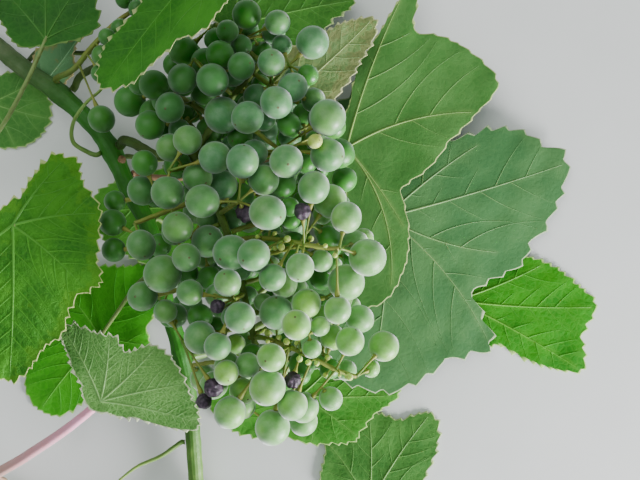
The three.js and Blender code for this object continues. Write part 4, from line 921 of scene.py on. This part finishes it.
def leafStalkPath(leaf):
    foot = np.array(leaf["foot"], float)
    step = foot[:2] - np.array(leaf["stalk"][-1][:2])
    beyond = foot[:2] + step / np.hypot(*step) * leafSizes["stalkSunk"]
    height = max(foot[2] + leaf["thickness"] / 2, leaf["stalkRadius"])
    below = leaf["stalkBelow"]                           # how far the stalk's end hides under its blade
    points = [*leaf["stalk"][:-1], leaf["stalk"][-1] - np.array([0, 0, below / 2])]
    return [*rootOn(*leaf["root"]), *points, (*beyond, height - below)]


stalkLooks = {
    "green": ((106, 134, 66), (128, 150, 84), (84, 102, 50)),
    "dark": ((60, 84, 32), (80, 102, 44), (52, 60, 28)),
    "pinkBrown": ((140, 108, 80), (156, 128, 98), (108, 84, 56)),
    "pink": ((152, 138, 96), (218, 150, 182), (190, 130, 128)),
}


def dressLeaves():
    stalkSkins = {name: makeStemSkin(f"leafStalk_{name}", *look) for name, look in stalkLooks.items()}
    for seed, (name, leaf) in enumerate(leaves.items(), start=30):
        mains = [mainVein(leaf, *vein) for vein in leaf["veins"]]
        sides = sideVeins(leaf, mains)
        leaf["mainField"] = veinField(leaf, np.concatenate(mains))
        leaf["allField"] = veinField(leaf, np.concatenate(mains + sides))
        ends = np.array(leafSizes["stalkEnds"]) * leaf["stalkRadius"]
        look = leaf["look"]
        shapes = [
            bladeShape(leaf, seed),
            veinShape(leaf, mains, "mainVein", 0.0, 0.6),
            veinShape(leaf, sides, "sideVein", look["sideTone"], 0.95),
            limbShape(leafStalkPath(leaf), taper(*ends), "leaf stalk", seed, part=2),
        ]
        veinLook = makeStemSkin(f"{name}_vein", look["vein"], look["light"], look["light"], 0.55, 0.3)
        skins = [makeBlade(f"{name}_blade", look), veinLook, stalkSkins[leaf["stalkLook"]]]
        addPiece(f"{name}_dressed", shapes, skins, [name], sharp=50)


# The bunch: grapes, branchlets and the short stalk of each grape

bunch = {
    "plane": 60.0,                    # height of the level plane through the bunch's stalk
    "top": (-31, 88), "tip": (-21, -80), "halfWidth": 52.0, "widest": 0.5, "span": 0.55, "depthShare": 0.7,
    "lowest": 22.0, "loweringSteps": 40,
    # filling grapes: how many, random places to try, least and largest radius, and lowest underside
    "fill": (34, 2600, 4.6, 6.2, 22.0),
    "extra": (140, 14000, 3.6, 5.8, 16.0),
    "extraRoom": 0.05,                # clearance that is enough for the extra ones
    "enclosure": 24.0,                # an extra grape has face grapes round it, this near
    "lopsided": 0.55,                 # how far to one side those may stand, as a share
    "shoulderBranchlets": 6, "stalkBranchlets": 22, "branchletReach": 0.62, "shortest": 5,
    "shoulderShare": 0.75, "stalkFrom": 0.39, "stalkShare": 0.6,   # where they stand along each
    "flattening": 0.8, "nearestWays": 24, "forkAt": 0.45, "branchletRadius": 1.0, "pedicelRadius": 0.75,
    "stubs": 13, "stubLength": (2.2, 5.5), "stubRadius": (0.6, 1.5), "stubSeed": 4,
    "branchletEnds": (1.0, 0.8), "stubThick": 0.5,                 # radii of the dressed ones
    "chanceSeed": 7,                  # of the chances that deal out the colours
    "driedSize": 0.94, "driedWrinkles": 0.07,
}

# The long visible branchlets, out to the face of the bunch
faceBranches = [
    [*rootOn(bunchStalk, 0.62, (1, 0.2, 0.8)), (-25, 0.8, 74), (-14, 0, 83), (-6, -1.5, 87), (4, -3.2, 88),
     (7, -3, 88)],
    [*rootOn(bunchStalk, 0.875, (0.6, 0, 0.8)), (-21, -38.5, 69), (-12, -41, 74), (-3, -45, 75), (6, -50, 73),
     (14, -53, 70)],
]

# Grapes on the face of the bunch, the foremost first: x, y and width on the stalk's plane
faceGrapes = [
    (-17.5, 55, 13), (-19.5, 71, 11), (-29, 49, 13), (-31.5, 69.5, 11), (3, 49, 14.5), (-2, 39.5, 6),
    (-43, 64, 13), (-55, 64.5, 12), (-31, 31.5, 13.5), (-13.5, 31.5, 13.5), (-42, 33, 13), (3, 34, 13.5),
    (-21, 11, 14.5), (-47, 15.5, 13.5), (-61, 19, 13), (10.5, 9, 12.5), (4, 15.5, 13.5), (-26.5, -6, 13),
    (-35.5, -5, 14.5), (-45, -0.5, 13), (-57, 5, 12.5), (-63, -13.5, 15), (-53.5, -7, 11.5), (-71.5, -2, 12),
    (-71, -22.5, 12), (-37, -17, 11), (-19, -15, 11), (-8, -11, 11.5), (19, -7, 15), (10.5, -17, 14.5),
    (-9.5, -34, 12), (-5.5, -25.5, 12), (-17.5, -29, 13.5), (-32, -31, 12.5), (7, -28, 11), (-41, -42.5, 11),
    (-37.5, -53, 10), (-19.5, -47, 11.5), (-29, -50, 10), (12, -40.5, 11.5), (25.5, -42.5, 12),
    (-21, -59, 14.5), (-11, -66, 12), (-36, -69, 13), (-19, -75, 14), (-6.5, -67, 12), (-7, 11.5, 7),
    (-41, -26.5, 6), (-42.5, -59, 8), (-46.5, -64.5, 6.5), (-11, -56, 7), (-17, 87, 10), (-3, 79, 13),
    (-37, 83.5, 9), (-11, 61, 12), (-39, 50, 14.5), (-60, 53, 12), (-53, 40, 11.5), (-60, 37, 11),
    (-49, 25, 12), (-39, 22, 12), (-22.5, 24, 12), (-2.5, 21, 13), (-48, -39, 13), (20.5, -51.5, 7),
    (-52, -21, 10.5), (5, -39, 10), (-31, -60.5, 10.5), (14, -1.5, 11),
]
yellowGrapes = (5,)                       # places in that list of the small yellow one
driedGrapes = (46, 47, 48, 49, 50)        # and of the shrivelled ones

# Grapes that hang lower, beside the shoot: x, y, width and height
lowGrapes = [
    (-83, 7, 10.5, 42), (-82.5, -4, 9.5, 42), (-82, 15.5, 8.5, 36), (-76, 55.5, 12.5, 44),
    (-67, 51, 10.5, 48),
]


def seenFromAbove(x, y, z):
    share = (drawing["viewHeight"] - z) / (drawing["viewHeight"] - bunch["plane"])
    return np.array([x * share, y * share, z])


# Half width of the bunch at a place's level, an ellipse along its length, and the share of it
def acrossBunch(x, y):
    top, tip = np.array(bunch["top"], float), np.array(bunch["tip"], float)
    length = np.linalg.norm(tip - top)
    way = (tip - top) / length
    dx, dy = x - top[0], y - top[1]
    along = (dx * way[0] + dy * way[1]) / length
    off = abs(dx * way[1] - dy * way[0])
    level = max(0.0, 1 - ((along - bunch["widest"]) / bunch["span"]) ** 2)
    halfWidth = bunch["halfWidth"] * math.sqrt(level)
    return halfWidth, off / max(halfWidth, 1)


def domeHeight(x, y):
    halfWidth, share = acrossBunch(x, y)
    return bunch["depthShare"] * halfWidth * math.sqrt(max(0.0, 1 - share * share))


def repeatable(seed):
    state = seed
    while True:
        state = state * 16807 % 2147483647
        yield state / 2147483647


# Distance from each point to each rod: the foot of the perpendicular, kept within the rod
def pointsToRods(points, starts, ends):
    line = ends - starts
    size = np.maximum((line ** 2).sum(axis=1), 1e-9)
    t = np.clip(((points[:, None] - starts[None]) * line[None]).sum(axis=2) / size[None], 0, 1)
    nearest = starts[None] + line[None] * t[..., None]
    return np.linalg.norm(points[:, None] - nearest, axis=2)


class BunchGrowth:
    # what has grown so far: grapes with centre, radius, branch and foot, and rods that they avoid
    def __init__(self):
        self.centres, self.radii, self.kinds, self.branches = [], [], [], []
        self.branchOf, self.feet = {}, {}
        self.starts, self.ends, self.rodRadii, self.rodBranches = [], [], [], []
        self.room = drawing["gap"]

    def addGrape(self, centre, radius, kind):
        for values, value in ((self.centres, centre), (self.radii, radius), (self.kinds, kind)):
            values.append(value)

    def addRods(self, line, radius, branch):
        self.starts += list(line[:-1])
        self.ends += list(line[1:])
        self.rodRadii += [radius] * (len(line) - 1)
        self.rodBranches += [branch] * (len(line) - 1)

    def rodArrays(self, keep):
        return np.array(self.starts)[keep], np.array(self.ends)[keep], np.array(self.rodRadii)[keep]

    # Whether a new grape would touch one that hangs, or a rod
    def crowded(self, centre, radius, alive):
        away = np.linalg.norm(np.array(self.centres) - centre, axis=1)
        near = away < np.array(self.radii) + radius + self.room
        return (near & alive).any() or self.onRods(centre, radius, slice(None))

    def onRods(self, centre, radius, keep):
        starts, ends, radii = self.rodArrays(keep)
        return (pointsToRods(centre[None], starts, ends)[0] < radii + radius + self.room).any()

    def grapeBlocks(self, start, end, radius, own, alive):
        centres, radii = np.array(self.centres), np.array(self.radii)
        away = pointsToRods(centres, start[None], end[None])[:, 0]
        hit = away < radii + radius + self.room
        if own is not None:
            hit[own] = False
        return bool((hit & alive).any())

    def rodBlocks(self, start, end, radius, keep):
        if not keep.any():
            return False
        starts, ends, radii = self.rodArrays(keep)
        samples = start + (end - start) * np.linspace(0, 1, 17)[:, None]
        away = pointsToRods(samples, starts, ends).min(axis=0)
        return bool((away < radii + radius + 2 * self.room).any())

    # The nearest clear straight way from a grape to a branchlet, or to a fork on the way to
    # another grape
    def hang(self, number, alive, forks=False):
        centre, radius = self.centres[number], self.radii[number]
        places = np.array([point for line in self.branches for point in line[1:]])
        owners = np.array([k for k, line in enumerate(self.branches) for _ in line[1:]])
        if forks:
            hung = [k for k in self.feet if alive[k]]
            ways = [self.feet[k] + bunch["forkAt"] * (self.centres[k] - self.feet[k]) for k in hung]
            places = np.concatenate([places, ways])
            owners = np.concatenate([owners, [self.branchOf[k] for k in hung]])
        order = np.argsort(np.linalg.norm(places - centre, axis=1), kind="stable")
        rodBranches = np.array(self.rodBranches)
        for k in order[:bunch["nearestWays"]]:
            foot, owner = places[k], owners[k]
            keep = rodBranches != owner
            if not (self.onRods(centre, radius, keep)
                    or self.grapeBlocks(foot, centre, bunch["pedicelRadius"], number, alive)
                    or self.rodBlocks(foot, centre, bunch["pedicelRadius"], keep)):
                self.branchOf[number], self.feet[number] = owner, foot
                self.addRods([foot, centre], bunch["pedicelRadius"], owner)
                return True
        return False


shootRods, stalkRods, leafRods = -1, -2, -3

# More grapes that show in gaps, two of them shrivelled: x, y and width on the stalk's plane
hiddenDried = [(-31.6, 84.4, 6.5), (-30, 11.2, 7.5)]
backGrapes = [
    (-66.4, 62, 11.5), (-62, 56, 11), (-72, 63, 10), (-46, 71, 11), (-52, 74, 10), (-40, 74, 10.5),
    (-58, 70, 10), (-68, 46, 11), (-52, 52, 11), (-44, 44, 11), (-34, 58, 11), (-57, 30, 11), (-50, 33, 10),
    (-32, 41, 10),
]


def placeFaceGrapes(growth):
    for number, (x, y, width) in enumerate(faceGrapes):
        kind = "yellow" if number in yellowGrapes else "dried" if number in driedGrapes else "face"
        for step in range(bunch["loweringSteps"]):
            z = bunch["plane"] + domeHeight(x, y) - step
            centre, radius = seenFromAbove(x, y, z), seenFromAbove(width / 2, 0, z)[0]
            if all(np.linalg.norm(c - centre) >= r + radius + drawing["gap"]
                   for c, r in zip(growth.centres, growth.radii)):
                growth.addGrape(centre, radius, kind)
                break
    for x, y, width, z in lowGrapes:
        growth.addGrape(seenFromAbove(x, y, z), seenFromAbove(width / 2, 0, z)[0], "low")


# Branchlets leave the shoulder and the stalk by turns of the golden angle, where there is room
def growBranchlets(growth):
    total = bunch["shoulderBranchlets"] + bunch["stalkBranchlets"]
    alive = np.ones(len(growth.centres), bool)
    for i in range(total):
        if i < bunch["shoulderBranchlets"]:
            carrier, share = shoulder, 1 - bunch["shoulderShare"] * i / bunch["shoulderBranchlets"]
        else:
            carrier = bunchStalk
            along = (i - bunch["shoulderBranchlets"] + 0.5) / bunch["stalkBranchlets"]
            share = bunch["stalkFrom"] + bunch["stalkShare"] * along
        place = pointsAlong(carrier["path"], share)
        forward = headingAlong(carrier["path"], share)
        turn = i * drawing["goldenAngle"]
        aside = math.cos(turn) / math.hypot(forward[0], forward[1])
        way = np.array([-forward[1] * aside, forward[0] * aside, bunch["flattening"] * math.sin(turn)])
        start = rootOn(carrier, min(share, 0.99), way)[0]
        length = bunch["branchletReach"] * acrossBunch(place[0], place[1])[0]
        while length > bunch["shortest"]:
            end = start + way * length
            kinds = np.array(growth.rodBranches)
            if not (growth.grapeBlocks(start, end, bunch["branchletRadius"], None, alive)
                    or growth.rodBlocks(start, end, bunch["branchletRadius"], kinds != stalkRods)
                    or growth.rodBlocks(start + (end - start) * 0.3, end, bunch["branchletRadius"],
                                        kinds == stalkRods)):
                growth.branches.append([start, (start + end) / 2, end])
                growth.addRods([start, end], bunch["branchletRadius"], len(growth.branches) - 1)
                break
            length -= 2


# Whether face grapes stand round a place on all sides, as they line up from above: the mean of
# the directions to those near it is short
def enclosed(centre):
    shown = np.array([(x, y) for x, y, *_ in [*faceGrapes, *lowGrapes]])
    flat = centre[:2] * (drawing["viewHeight"] - bunch["plane"]) / (drawing["viewHeight"] - centre[2])
    away = np.linalg.norm(shown - flat, axis=1)
    ways = unit(shown - flat)[away < bunch["enclosure"]]
    return len(ways) > 3 and np.linalg.norm(ways.mean(axis=0)) < bunch["lopsided"]


# Filling grapes at random places inside the bunch, wherever one finds room and a way to hang
def fillBunch(growth, alive, kind, draw):
    wanted, tries, least, most, lowest = bunch[kind]
    extra = kind == "extra"
    added = 0
    for _ in range(tries):
        if added == wanted:
            break
        along, side, turn = next(draw), 2 * next(draw) - 1, 2 * math.pi * next(draw)
        radius = least + (most - least) * next(draw)
        x0 = bunch["top"][0] + (bunch["tip"][0] - bunch["top"][0]) * along
        y0 = bunch["top"][1] + (bunch["tip"][1] - bunch["top"][1]) * along
        reach = math.sqrt(abs(side)) * max(0.0, acrossBunch(x0, y0)[0] - radius)
        z = bunch["plane"] + bunch["depthShare"] * reach * math.sin(turn)
        centre = np.array([x0 + reach * math.cos(turn), y0, max(z, lowest + radius)])
        if extra and not enclosed(centre):
            continue
        if hangNew(growth, alive, centre, radius, "fill", extra):
            alive = np.append(alive, True)
            added += 1
    return alive


# Hangs one more grape where it touches no other grape and no stem
def hangNew(growth, alive, centre, radius, kind, forks):
    if growth.crowded(centre, radius, alive):
        return False
    growth.addGrape(centre, radius, kind)
    if growth.hang(len(growth.centres) - 1, np.append(alive, True), forks):
        return True
    del growth.centres[-1], growth.radii[-1], growth.kinds[-1]
    return False


def growBunch():
    growth = BunchGrowth()
    placeFaceGrapes(growth)
    growth.addRods(chords(mainShoot["path"], 24), shootSizes["thick"] + shootSizes["swelling"], shootRods)
    growth.addRods(chords(bunchStalk["path"], 24), bunchStalk["radiusAt"](0), stalkRods)
    growth.addRods(chords(shoulder["path"], 8), shoulder["radiusAt"](0), stalkRods)
    for leaf in leaves.values():
        growth.addRods(stalkChords(leaf), leaf["stalkRadius"], leafRods)
    for k, path in enumerate(faceBranches):
        line = chords(path, 12)
        growth.branches.append(list(line))
        growth.addRods(line, bunch["branchletRadius"], k)
    growBranchlets(growth)
    everyone = np.ones(len(growth.centres), bool)
    hung = np.array([growth.hang(k, everyone) for k in range(len(growth.centres))])
    draw = repeatable(drawing["seed"])
    alive = fillBunch(growth, hung, "fill", draw)
    growth.room = bunch["extraRoom"]
    for x, y, width in [*hiddenDried, *backGrapes]:
        kind = "dried" if (x, y, width) in hiddenDried else "low"
        for z in np.arange(bunch["plane"] + domeHeight(x, y), bunch["lowest"], -1.0):
            if hangNew(growth, alive, seenFromAbove(x, y, z), width / 2, kind, True):
                alive = np.append(alive, True)
                break
    alive = fillBunch(growth, alive, "extra", draw)
    print(f"bunch: {int(alive.sum())} grapes on {len(growth.branches)} branchlets")
    return growth, alive


# Each grape colour: flesh, its yellower patches of painted glow, the bloom over both, and how strong its
# sheen is. From dark to pale the colours are copies of one skin that carry painted shade and painted light;
# shade is the painted-shade copy for grapes that hang low or deep inside
grapeColours = {
    "dark": ((50, 112, 42), (66, 124, 38), (94, 144, 88), 0.35),
    "green": ((68, 125, 54), (92, 143, 50), (128, 168, 118), 0.45),
    "blueGreen": ((66, 126, 68), (92, 146, 58), (142, 176, 140), 0.5),
    "middle": ((72, 134, 66), (100, 150, 58), (148, 182, 130), 0.7),
    "yellowGreen": ((100, 164, 56), (136, 186, 50), (172, 206, 146), 0.85),
    "pale": ((94, 156, 70), (124, 176, 62), (174, 204, 158), 0.85),
    "shade": ((46, 118, 26), (62, 132, 26), (86, 146, 64), 0.25),
    "yellow": ((160, 182, 74), (176, 186, 70), (190, 204, 130), 0.4),
}
colourNames = list(grapeColours)
scarLook = ((70, 66, 38), (120, 118, 70), 1800, 0.75)     # the corky scar at a grape's tip


# A grape: a circle carried from its stalk to its tip. Its radius follows a slightly long egg
# with a dimple where the stalk enters and a small blunt point at the tip
def grapeGrid(rows, columns):
    v = np.concatenate([[0.035], np.linspace(0.08, 0.93, rows - 4), [0.958, 0.975, 0.985]]) * np.pi
    along = -np.cos(v) * 1.03 + 0.10 * np.exp(-(v / 0.28) ** 2)
    round_ = np.sin(v)
    nose = np.exp(-((np.pi - v) / 0.09) ** 2)
    along = along + 0.02 * nose
    return along, round_, roundAngles(columns)


# Rows and columns of each set of grapes, and the seed of their small differences
grapeSets = {"face": (22, 28, 21), "behind": (15, 20, 22), "dried": (30, 40, 23), "second": (20, 26, 24),
             "stubs": (10, 12, 25)}
grapeTurn = (0.31, 0.17, 0.93)            # a way that no grape hangs in


def grapesShape(name, centres, radii, feet, parts, tipPart=None, wrinkles=0.0):
    rows, columns, seed = grapeSets[name]
    along, round_, u = grapeGrid(rows, columns)
    forward = unit(centres - feet)
    ways = waysRound(*squareTo(forward, grapeTurn), u)
    draw = np.random.default_rng(seed)
    oval = draw.uniform(-0.035, 0.035, (len(centres), 1, 1))
    lean = draw.uniform(0, 2 * np.pi, (len(centres), 1, 1))
    swell = 1 + oval * np.cos(2 * u[None, None] + lean)
    across = round_[None, :, None] * swell * radii[:, None, None]
    middles = centres[:, None] + forward[:, None] * (along[None, :] * radii[:, None])[..., None]
    points = middles[:, :, None] + ways[:, None] * across[..., None]
    if wrinkles:
        outward = unit(points - centres[:, None, None])
        dents = softNoise(points, 3.2, seed) + 0.6 * softNoise(points, 1.5, seed + 1)
        points = points + outward * (wrinkles * dents * radii[:, None, None])[..., None]
    return gridShape(points, parts, tipPart)


# Short stalks: a circle carried from each foot to its grape, thin at the middle, with a warty
# collar where it meets the grape
def pedicelShape(centres, radii, feet, thick=bunch["pedicelRadius"]):
    forward = unit(centres - feet)
    side, rise = squareTo(forward, grapeTurn)
    length = np.linalg.norm(centres - feet, axis=1) - radii * 0.96
    s = np.array([0, 0.12, 0.3, 0.5, 0.7, 0.84, 0.92, 0.97, 1.0])
    width = np.array([1.15, 0.8, 0.62, 0.58, 0.62, 0.85, 1.25, 1.45, 1.25]) * thick
    bow = 0.35 * np.sin(np.pi * s)
    u = roundAngles(8)
    centre = (feet[:, None] + forward[:, None] * (length[:, None] * s)[..., None]
              + rise[:, None] * bow[None, :, None])
    warts = 1 + 0.12 * np.cos(3 * u + 2)[None] * np.where(s > 0.8, 1, 0.3)[:, None]
    ring = width[:, None] * warts
    points = centre[:, :, None] + waysRound(side, rise, u)[:, None] * ring[None, ..., None]
    return gridShape(points, marks={"tone": np.broadcast_to(s[:, None], ring.shape)})


# A grape is yellower and paler towards the right and the bottom, where the sky lights the bunch
grapeLight = {
    "right": 0.009, "up": -0.006, "level": -25, "spread": 0.2,
    "dark": -0.47, "green": -0.1, "middle": 0.15,             # the most light that each colour has
    "leftSide": -42, "shadeShare": 0.45, "yellowShare": 0.5,
}


def colourOf(centre, kind, chance):
    lit = grapeLight["right"] * (centre[0] - grapeLight["level"]) + grapeLight["up"] * centre[1]
    lit += grapeLight["spread"] * (chance - 0.5)
    if kind == "yellow":
        name = "yellow"
    elif kind == "low" or (kind == "fill" and chance < grapeLight["shadeShare"]):
        name = "shade"
    elif lit < grapeLight["dark"]:
        name = "dark"
    elif lit < grapeLight["green"]:
        name = "green" if centre[0] < grapeLight["leftSide"] else "blueGreen"
    elif lit < grapeLight["middle"]:
        name = "middle"
    else:
        name = "yellowGreen" if chance < grapeLight["yellowShare"] else "pale"
    return colourNames.index(name)


# Berries that never grew, on short stubs along the long branchlets
def stubBerries(centres, radii):
    draw = np.random.default_rng(bunch["stubSeed"])
    feet, tips = [], []
    for path in faceBranches:
        shares = np.linspace(0.2, 0.97, bunch["stubs"])
        line, heading = pointsAlong(path, shares), headingAlong(path, shares)
        ways = draw.normal(size=(len(shares), 3)) + (0, 0, 0.8)
        ways = unit(ways - heading * (ways * heading).sum(axis=1, keepdims=True))
        feet.append(line + 0.5 * ways)
        tips.append(line + ways * draw.uniform(*bunch["stubLength"], (len(shares), 1)))
    feet, tips = np.concatenate(feet), np.concatenate(tips)
    size = draw.uniform(*bunch["stubRadius"], len(tips))
    away = np.linalg.norm(tips[:, None] - centres[None], axis=2) - radii[None] - size[:, None]
    free = away.min(axis=1) > 0.1
    return tips[free], size[free], feet[free]


def dressBunch():
    growth, alive = growBunch()
    names = [n for n in sorted(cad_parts) if n.startswith("bunch_branch_")]
    used = sorted(set(growth.branchOf[k] for k in np.flatnonzero(alive)))
    paths = [*faceBranches, *growth.branches[len(faceBranches):]]
    radiusAt, tone = taper(*bunch["branchletEnds"]), taper(0.25, 0.75)
    twigs = [limbShape(paths[k], radiusAt, "branchlet", 60 + k, tone=tone) for k in used]
    keep = np.flatnonzero(alive)
    centres, radii, feet, kinds = (np.array([values[k] for k in keep])
                                   for values in (growth.centres, growth.radii, growth.feet, growth.kinds))
    berries = stubBerries(centres, radii)
    twigs += [pedicelShape(centres, radii, feet), pedicelShape(*berries, bunch["stubThick"])]
    addPiece("bunch_twigs", twigs, [twigSkin], names)
    chances = np.random.default_rng(bunch["chanceSeed"]).uniform(size=len(keep))
    parts = np.array([colourOf(*grape) for grape in zip(centres, kinds, chances)])
    skins = [makeGrapeSkin(f"grape_{name}", *look) for name, look in grapeColours.items()]
    skins.append(makeDriedSkin("grapeScar", *scarLook))
    dried = makeDriedSkin("driedGrape", (34, 24, 36), (74, 54, 72), 700, 0.5)
    behind, shrunk = kinds == "fill", kinds == "dried"
    front = ~(behind | shrunk)
    tip = len(skins) - 1
    shapes = [
        grapesShape("face", centres[front], radii[front], feet[front], parts[front], tip),
        grapesShape("stubs", *berries, colourNames.index("yellow"), tip),
    ]
    addPiece("bunch_grapes", shapes, skins, names)
    shapes = [
        grapesShape("behind", centres[behind], radii[behind], feet[behind], parts[behind], tip),
        grapesShape("dried", centres[shrunk], radii[shrunk] * bunch["driedSize"], feet[shrunk], tip + 1,
                    wrinkles=bunch["driedWrinkles"]),
    ]
    addPiece("bunch_inner_grapes", shapes, [*skins, dried], names)


# The second bunch, behind the upper front leaf

secondBunch = {
    "fill": 9, "tries": 600, "spread": 15.0, "radius": (3.6, 4.8), "stalk": (1.4, 0.9),
    "nearLeaves": ("upper_front_leaf", "top_left_leaf"),       # whose stalks its grapes keep clear of
    "left": -88, "right": -52, "front": 78, "back": 112,       # limits of the filling grapes
    # colour of its grapes: a darker copy of the grape skin, painted shade for a bunch that hangs behind the
    # leaves
    "colour": ((44, 110, 26), (62, 124, 28), (78, 138, 60), 0.25),
    "path": [*rootOn(mainShoot, 0.24, (0.6, 0.6, 0.9)), (-106, 74, 32), (-96, 82, 40), (-84, 92, 44),
             (-70, 100, 45)],
    "grapes": [(-90.5, 76.5, 9, 46), (-92.5, 70, 7.5, 42), (-83, 88, 8, 46), (-75, 85.5, 8, 52),
               (-74, 94, 8, 54), (-84, 80, 8, 40), (-92.8, 51.4, 11.5, 38)],
}


def growSecondBunch():
    draw = repeatable(drawing["seed"] + 5)
    path, (least, most) = secondBunch["path"], secondBunch["radius"]
    growth = BunchGrowth()
    for x, y, width, z in secondBunch["grapes"]:
        growth.addGrape(np.array([x, y, z], float), width / 2, "low")
    growth.addRods(chords(path, 12), secondBunch["stalk"][0], stalkRods)
    for name in secondBunch["nearLeaves"]:
        growth.addRods(stalkChords(leaves[name]), leaves[name]["stalkRadius"], leafRods)
    wanted = len(growth.centres) + secondBunch["fill"]
    for _ in range(secondBunch["tries"]):
        if len(growth.centres) == wanted:
            break
        root = pointsAlong(path, 0.45 + 0.55 * next(draw))
        turn, lift = 2 * math.pi * next(draw), 2 * next(draw) - 1
        level = math.sqrt(1 - lift * lift)
        radius = least + (most - least) * next(draw)
        out = radius + 2 + (secondBunch["spread"] - radius) * next(draw)
        centre = root + out * np.array([level * math.cos(turn), level * math.sin(turn), lift])
        within = (secondBunch["left"] < centre[0] < secondBunch["right"]
                  and secondBunch["front"] < centre[1] < secondBunch["back"])
        if within and not growth.crowded(centre, radius, True):
            growth.addGrape(centre, radius, "fill")
    return np.array(growth.centres), np.array(growth.radii)


def dressSecondBunch():
    centres, radii = growSecondBunch()
    places = pointsAlong(secondBunch["path"], 0.3 + 0.05 * np.arange(15))
    feet = places[np.linalg.norm(centres[:, None] - places[None], axis=2).argmin(axis=1)]
    stalk = limbShape(secondBunch["path"], taper(*secondBunch["stalk"]), "second stalk", 81)
    addPiece("second_bunch_twigs", [stalk, pedicelShape(centres, radii, feet)], [twigSkin],
             ["second_bunch"])
    shade = [makeGrapeSkin("grape_second", *secondBunch["colour"]), makeDriedSkin("secondScar", *scarLook)]
    addPiece("second_bunch_grapes", [grapesShape("second", centres, radii, feet, 0, 1)], shade,
             ["second_bunch"])


# Tendrils

tendrilEnds = (1.1, 0.55)                 # radii
tendrils = {
    "curled_tendril": [*rootOn(mainShoot, 0.372, (-0.6, -0.6, 0.4)), (-103, 39, 22), (-108, 43, 27),
                       (-107, 51, 30), (-101, 59, 32), (-95, 64, 33), (-91.5, 69, 31)],
    "lower_tendril": [*rootOn(mainShoot, 0.853, (-1, -0.2, 0.1)), (-72, -98, 12), (-83, -103, 11),
                      (-92, -110, 8)],
}


def dressTendrils():
    for seed, (name, path) in enumerate(tendrils.items(), start=90):
        shape = limbShape(path, taper(*tendrilEnds), "tendril", seed)
        addPiece(f"{name}_skin", [shape], [tendrilSkin], [name])


# Floor, light and camera

studio = {
    "floor": ((222, 224, 220), (214, 217, 212)), "floorSize": 3.0, "floorCells": 30,
    "worldColour": (222, 230, 236), "worldStrength": 0.545,
    "skyPanel": ((-0.35, 0.45, 0.95), 1.0, 7.0, (0.96, 1.0, 0.97)),    # place, size, power and colour
    "rimPanel": ((0.66, -0.60, 0.13), 0.4, 42.0, (0.97, 0.95, 1.0)),
    "lens": 50, "sensor": 36,
}


def addFloor():
    half, low = studio["floorSize"] / 2, -0.0004
    mesh = bpy.data.meshes.new("floor")
    mesh.from_pydata([(-half, -half, low), (half, -half, low), (half, half, low), (-half, half, low)], [],
                     [(0, 1, 2, 3)])
    material, tree, shader, place = startMaterial("floorPaper")
    clouds = noise(tree, place, studio["floorCells"])
    feed(tree, mixColours(tree, clouds, *studio["floor"]), shader.inputs["Base Color"])
    shader.inputs["Roughness"].default_value = 0.9
    mesh.materials.append(material)
    floor = bpy.data.objects.new("floor", mesh)
    bpy.context.scene.collection.objects.link(floor)


def addSoftLight(name, place, size, power, colour):
    light = bpy.data.lights.new(name, "AREA")
    light.size = size
    light.energy = power
    light.color = colour
    holder = bpy.data.objects.new(name, light)
    holder.location = place
    way = np.array([0.0, 0.0, 0.05]) - np.array(place)
    level = math.hypot(way[0], way[1])
    holder.rotation_euler = (math.atan2(level, -way[2]), 0, math.atan2(way[1], way[0]) - math.pi / 2)
    bpy.context.scene.collection.objects.link(holder)


def addStudio():
    world = bpy.data.worlds.new("studioSky")
    world.use_nodes = True
    background = world.node_tree.nodes["Background"]
    feed(world.node_tree, studio["worldColour"], background.inputs["Color"])
    background.inputs["Strength"].default_value = studio["worldStrength"]
    bpy.context.scene.world = world
    for name in ("skyPanel", "rimPanel"):
        addSoftLight(name, *studio[name])
    camera = bpy.data.cameras.new("camera")
    camera.lens = studio["lens"]
    camera.sensor_width = studio["sensor"]
    camera.dof.use_dof = False
    camera.clip_start = 0.01
    holder = bpy.data.objects.new("camera", camera)
    centre = drawing["centre"]
    holder.location = (-centre[0] / 1000, -centre[1] / 1000, drawing["viewHeight"] / 1000)
    bpy.context.scene.collection.objects.link(holder)
    bpy.context.scene.camera = holder


dressShoots()
print("shoots done")
dressLeaves()
print("leaves done")
dressBunch()
dressSecondBunch()
print("grapes done")
dressTendrils()
addFloor()
addStudio()
print("studio done")
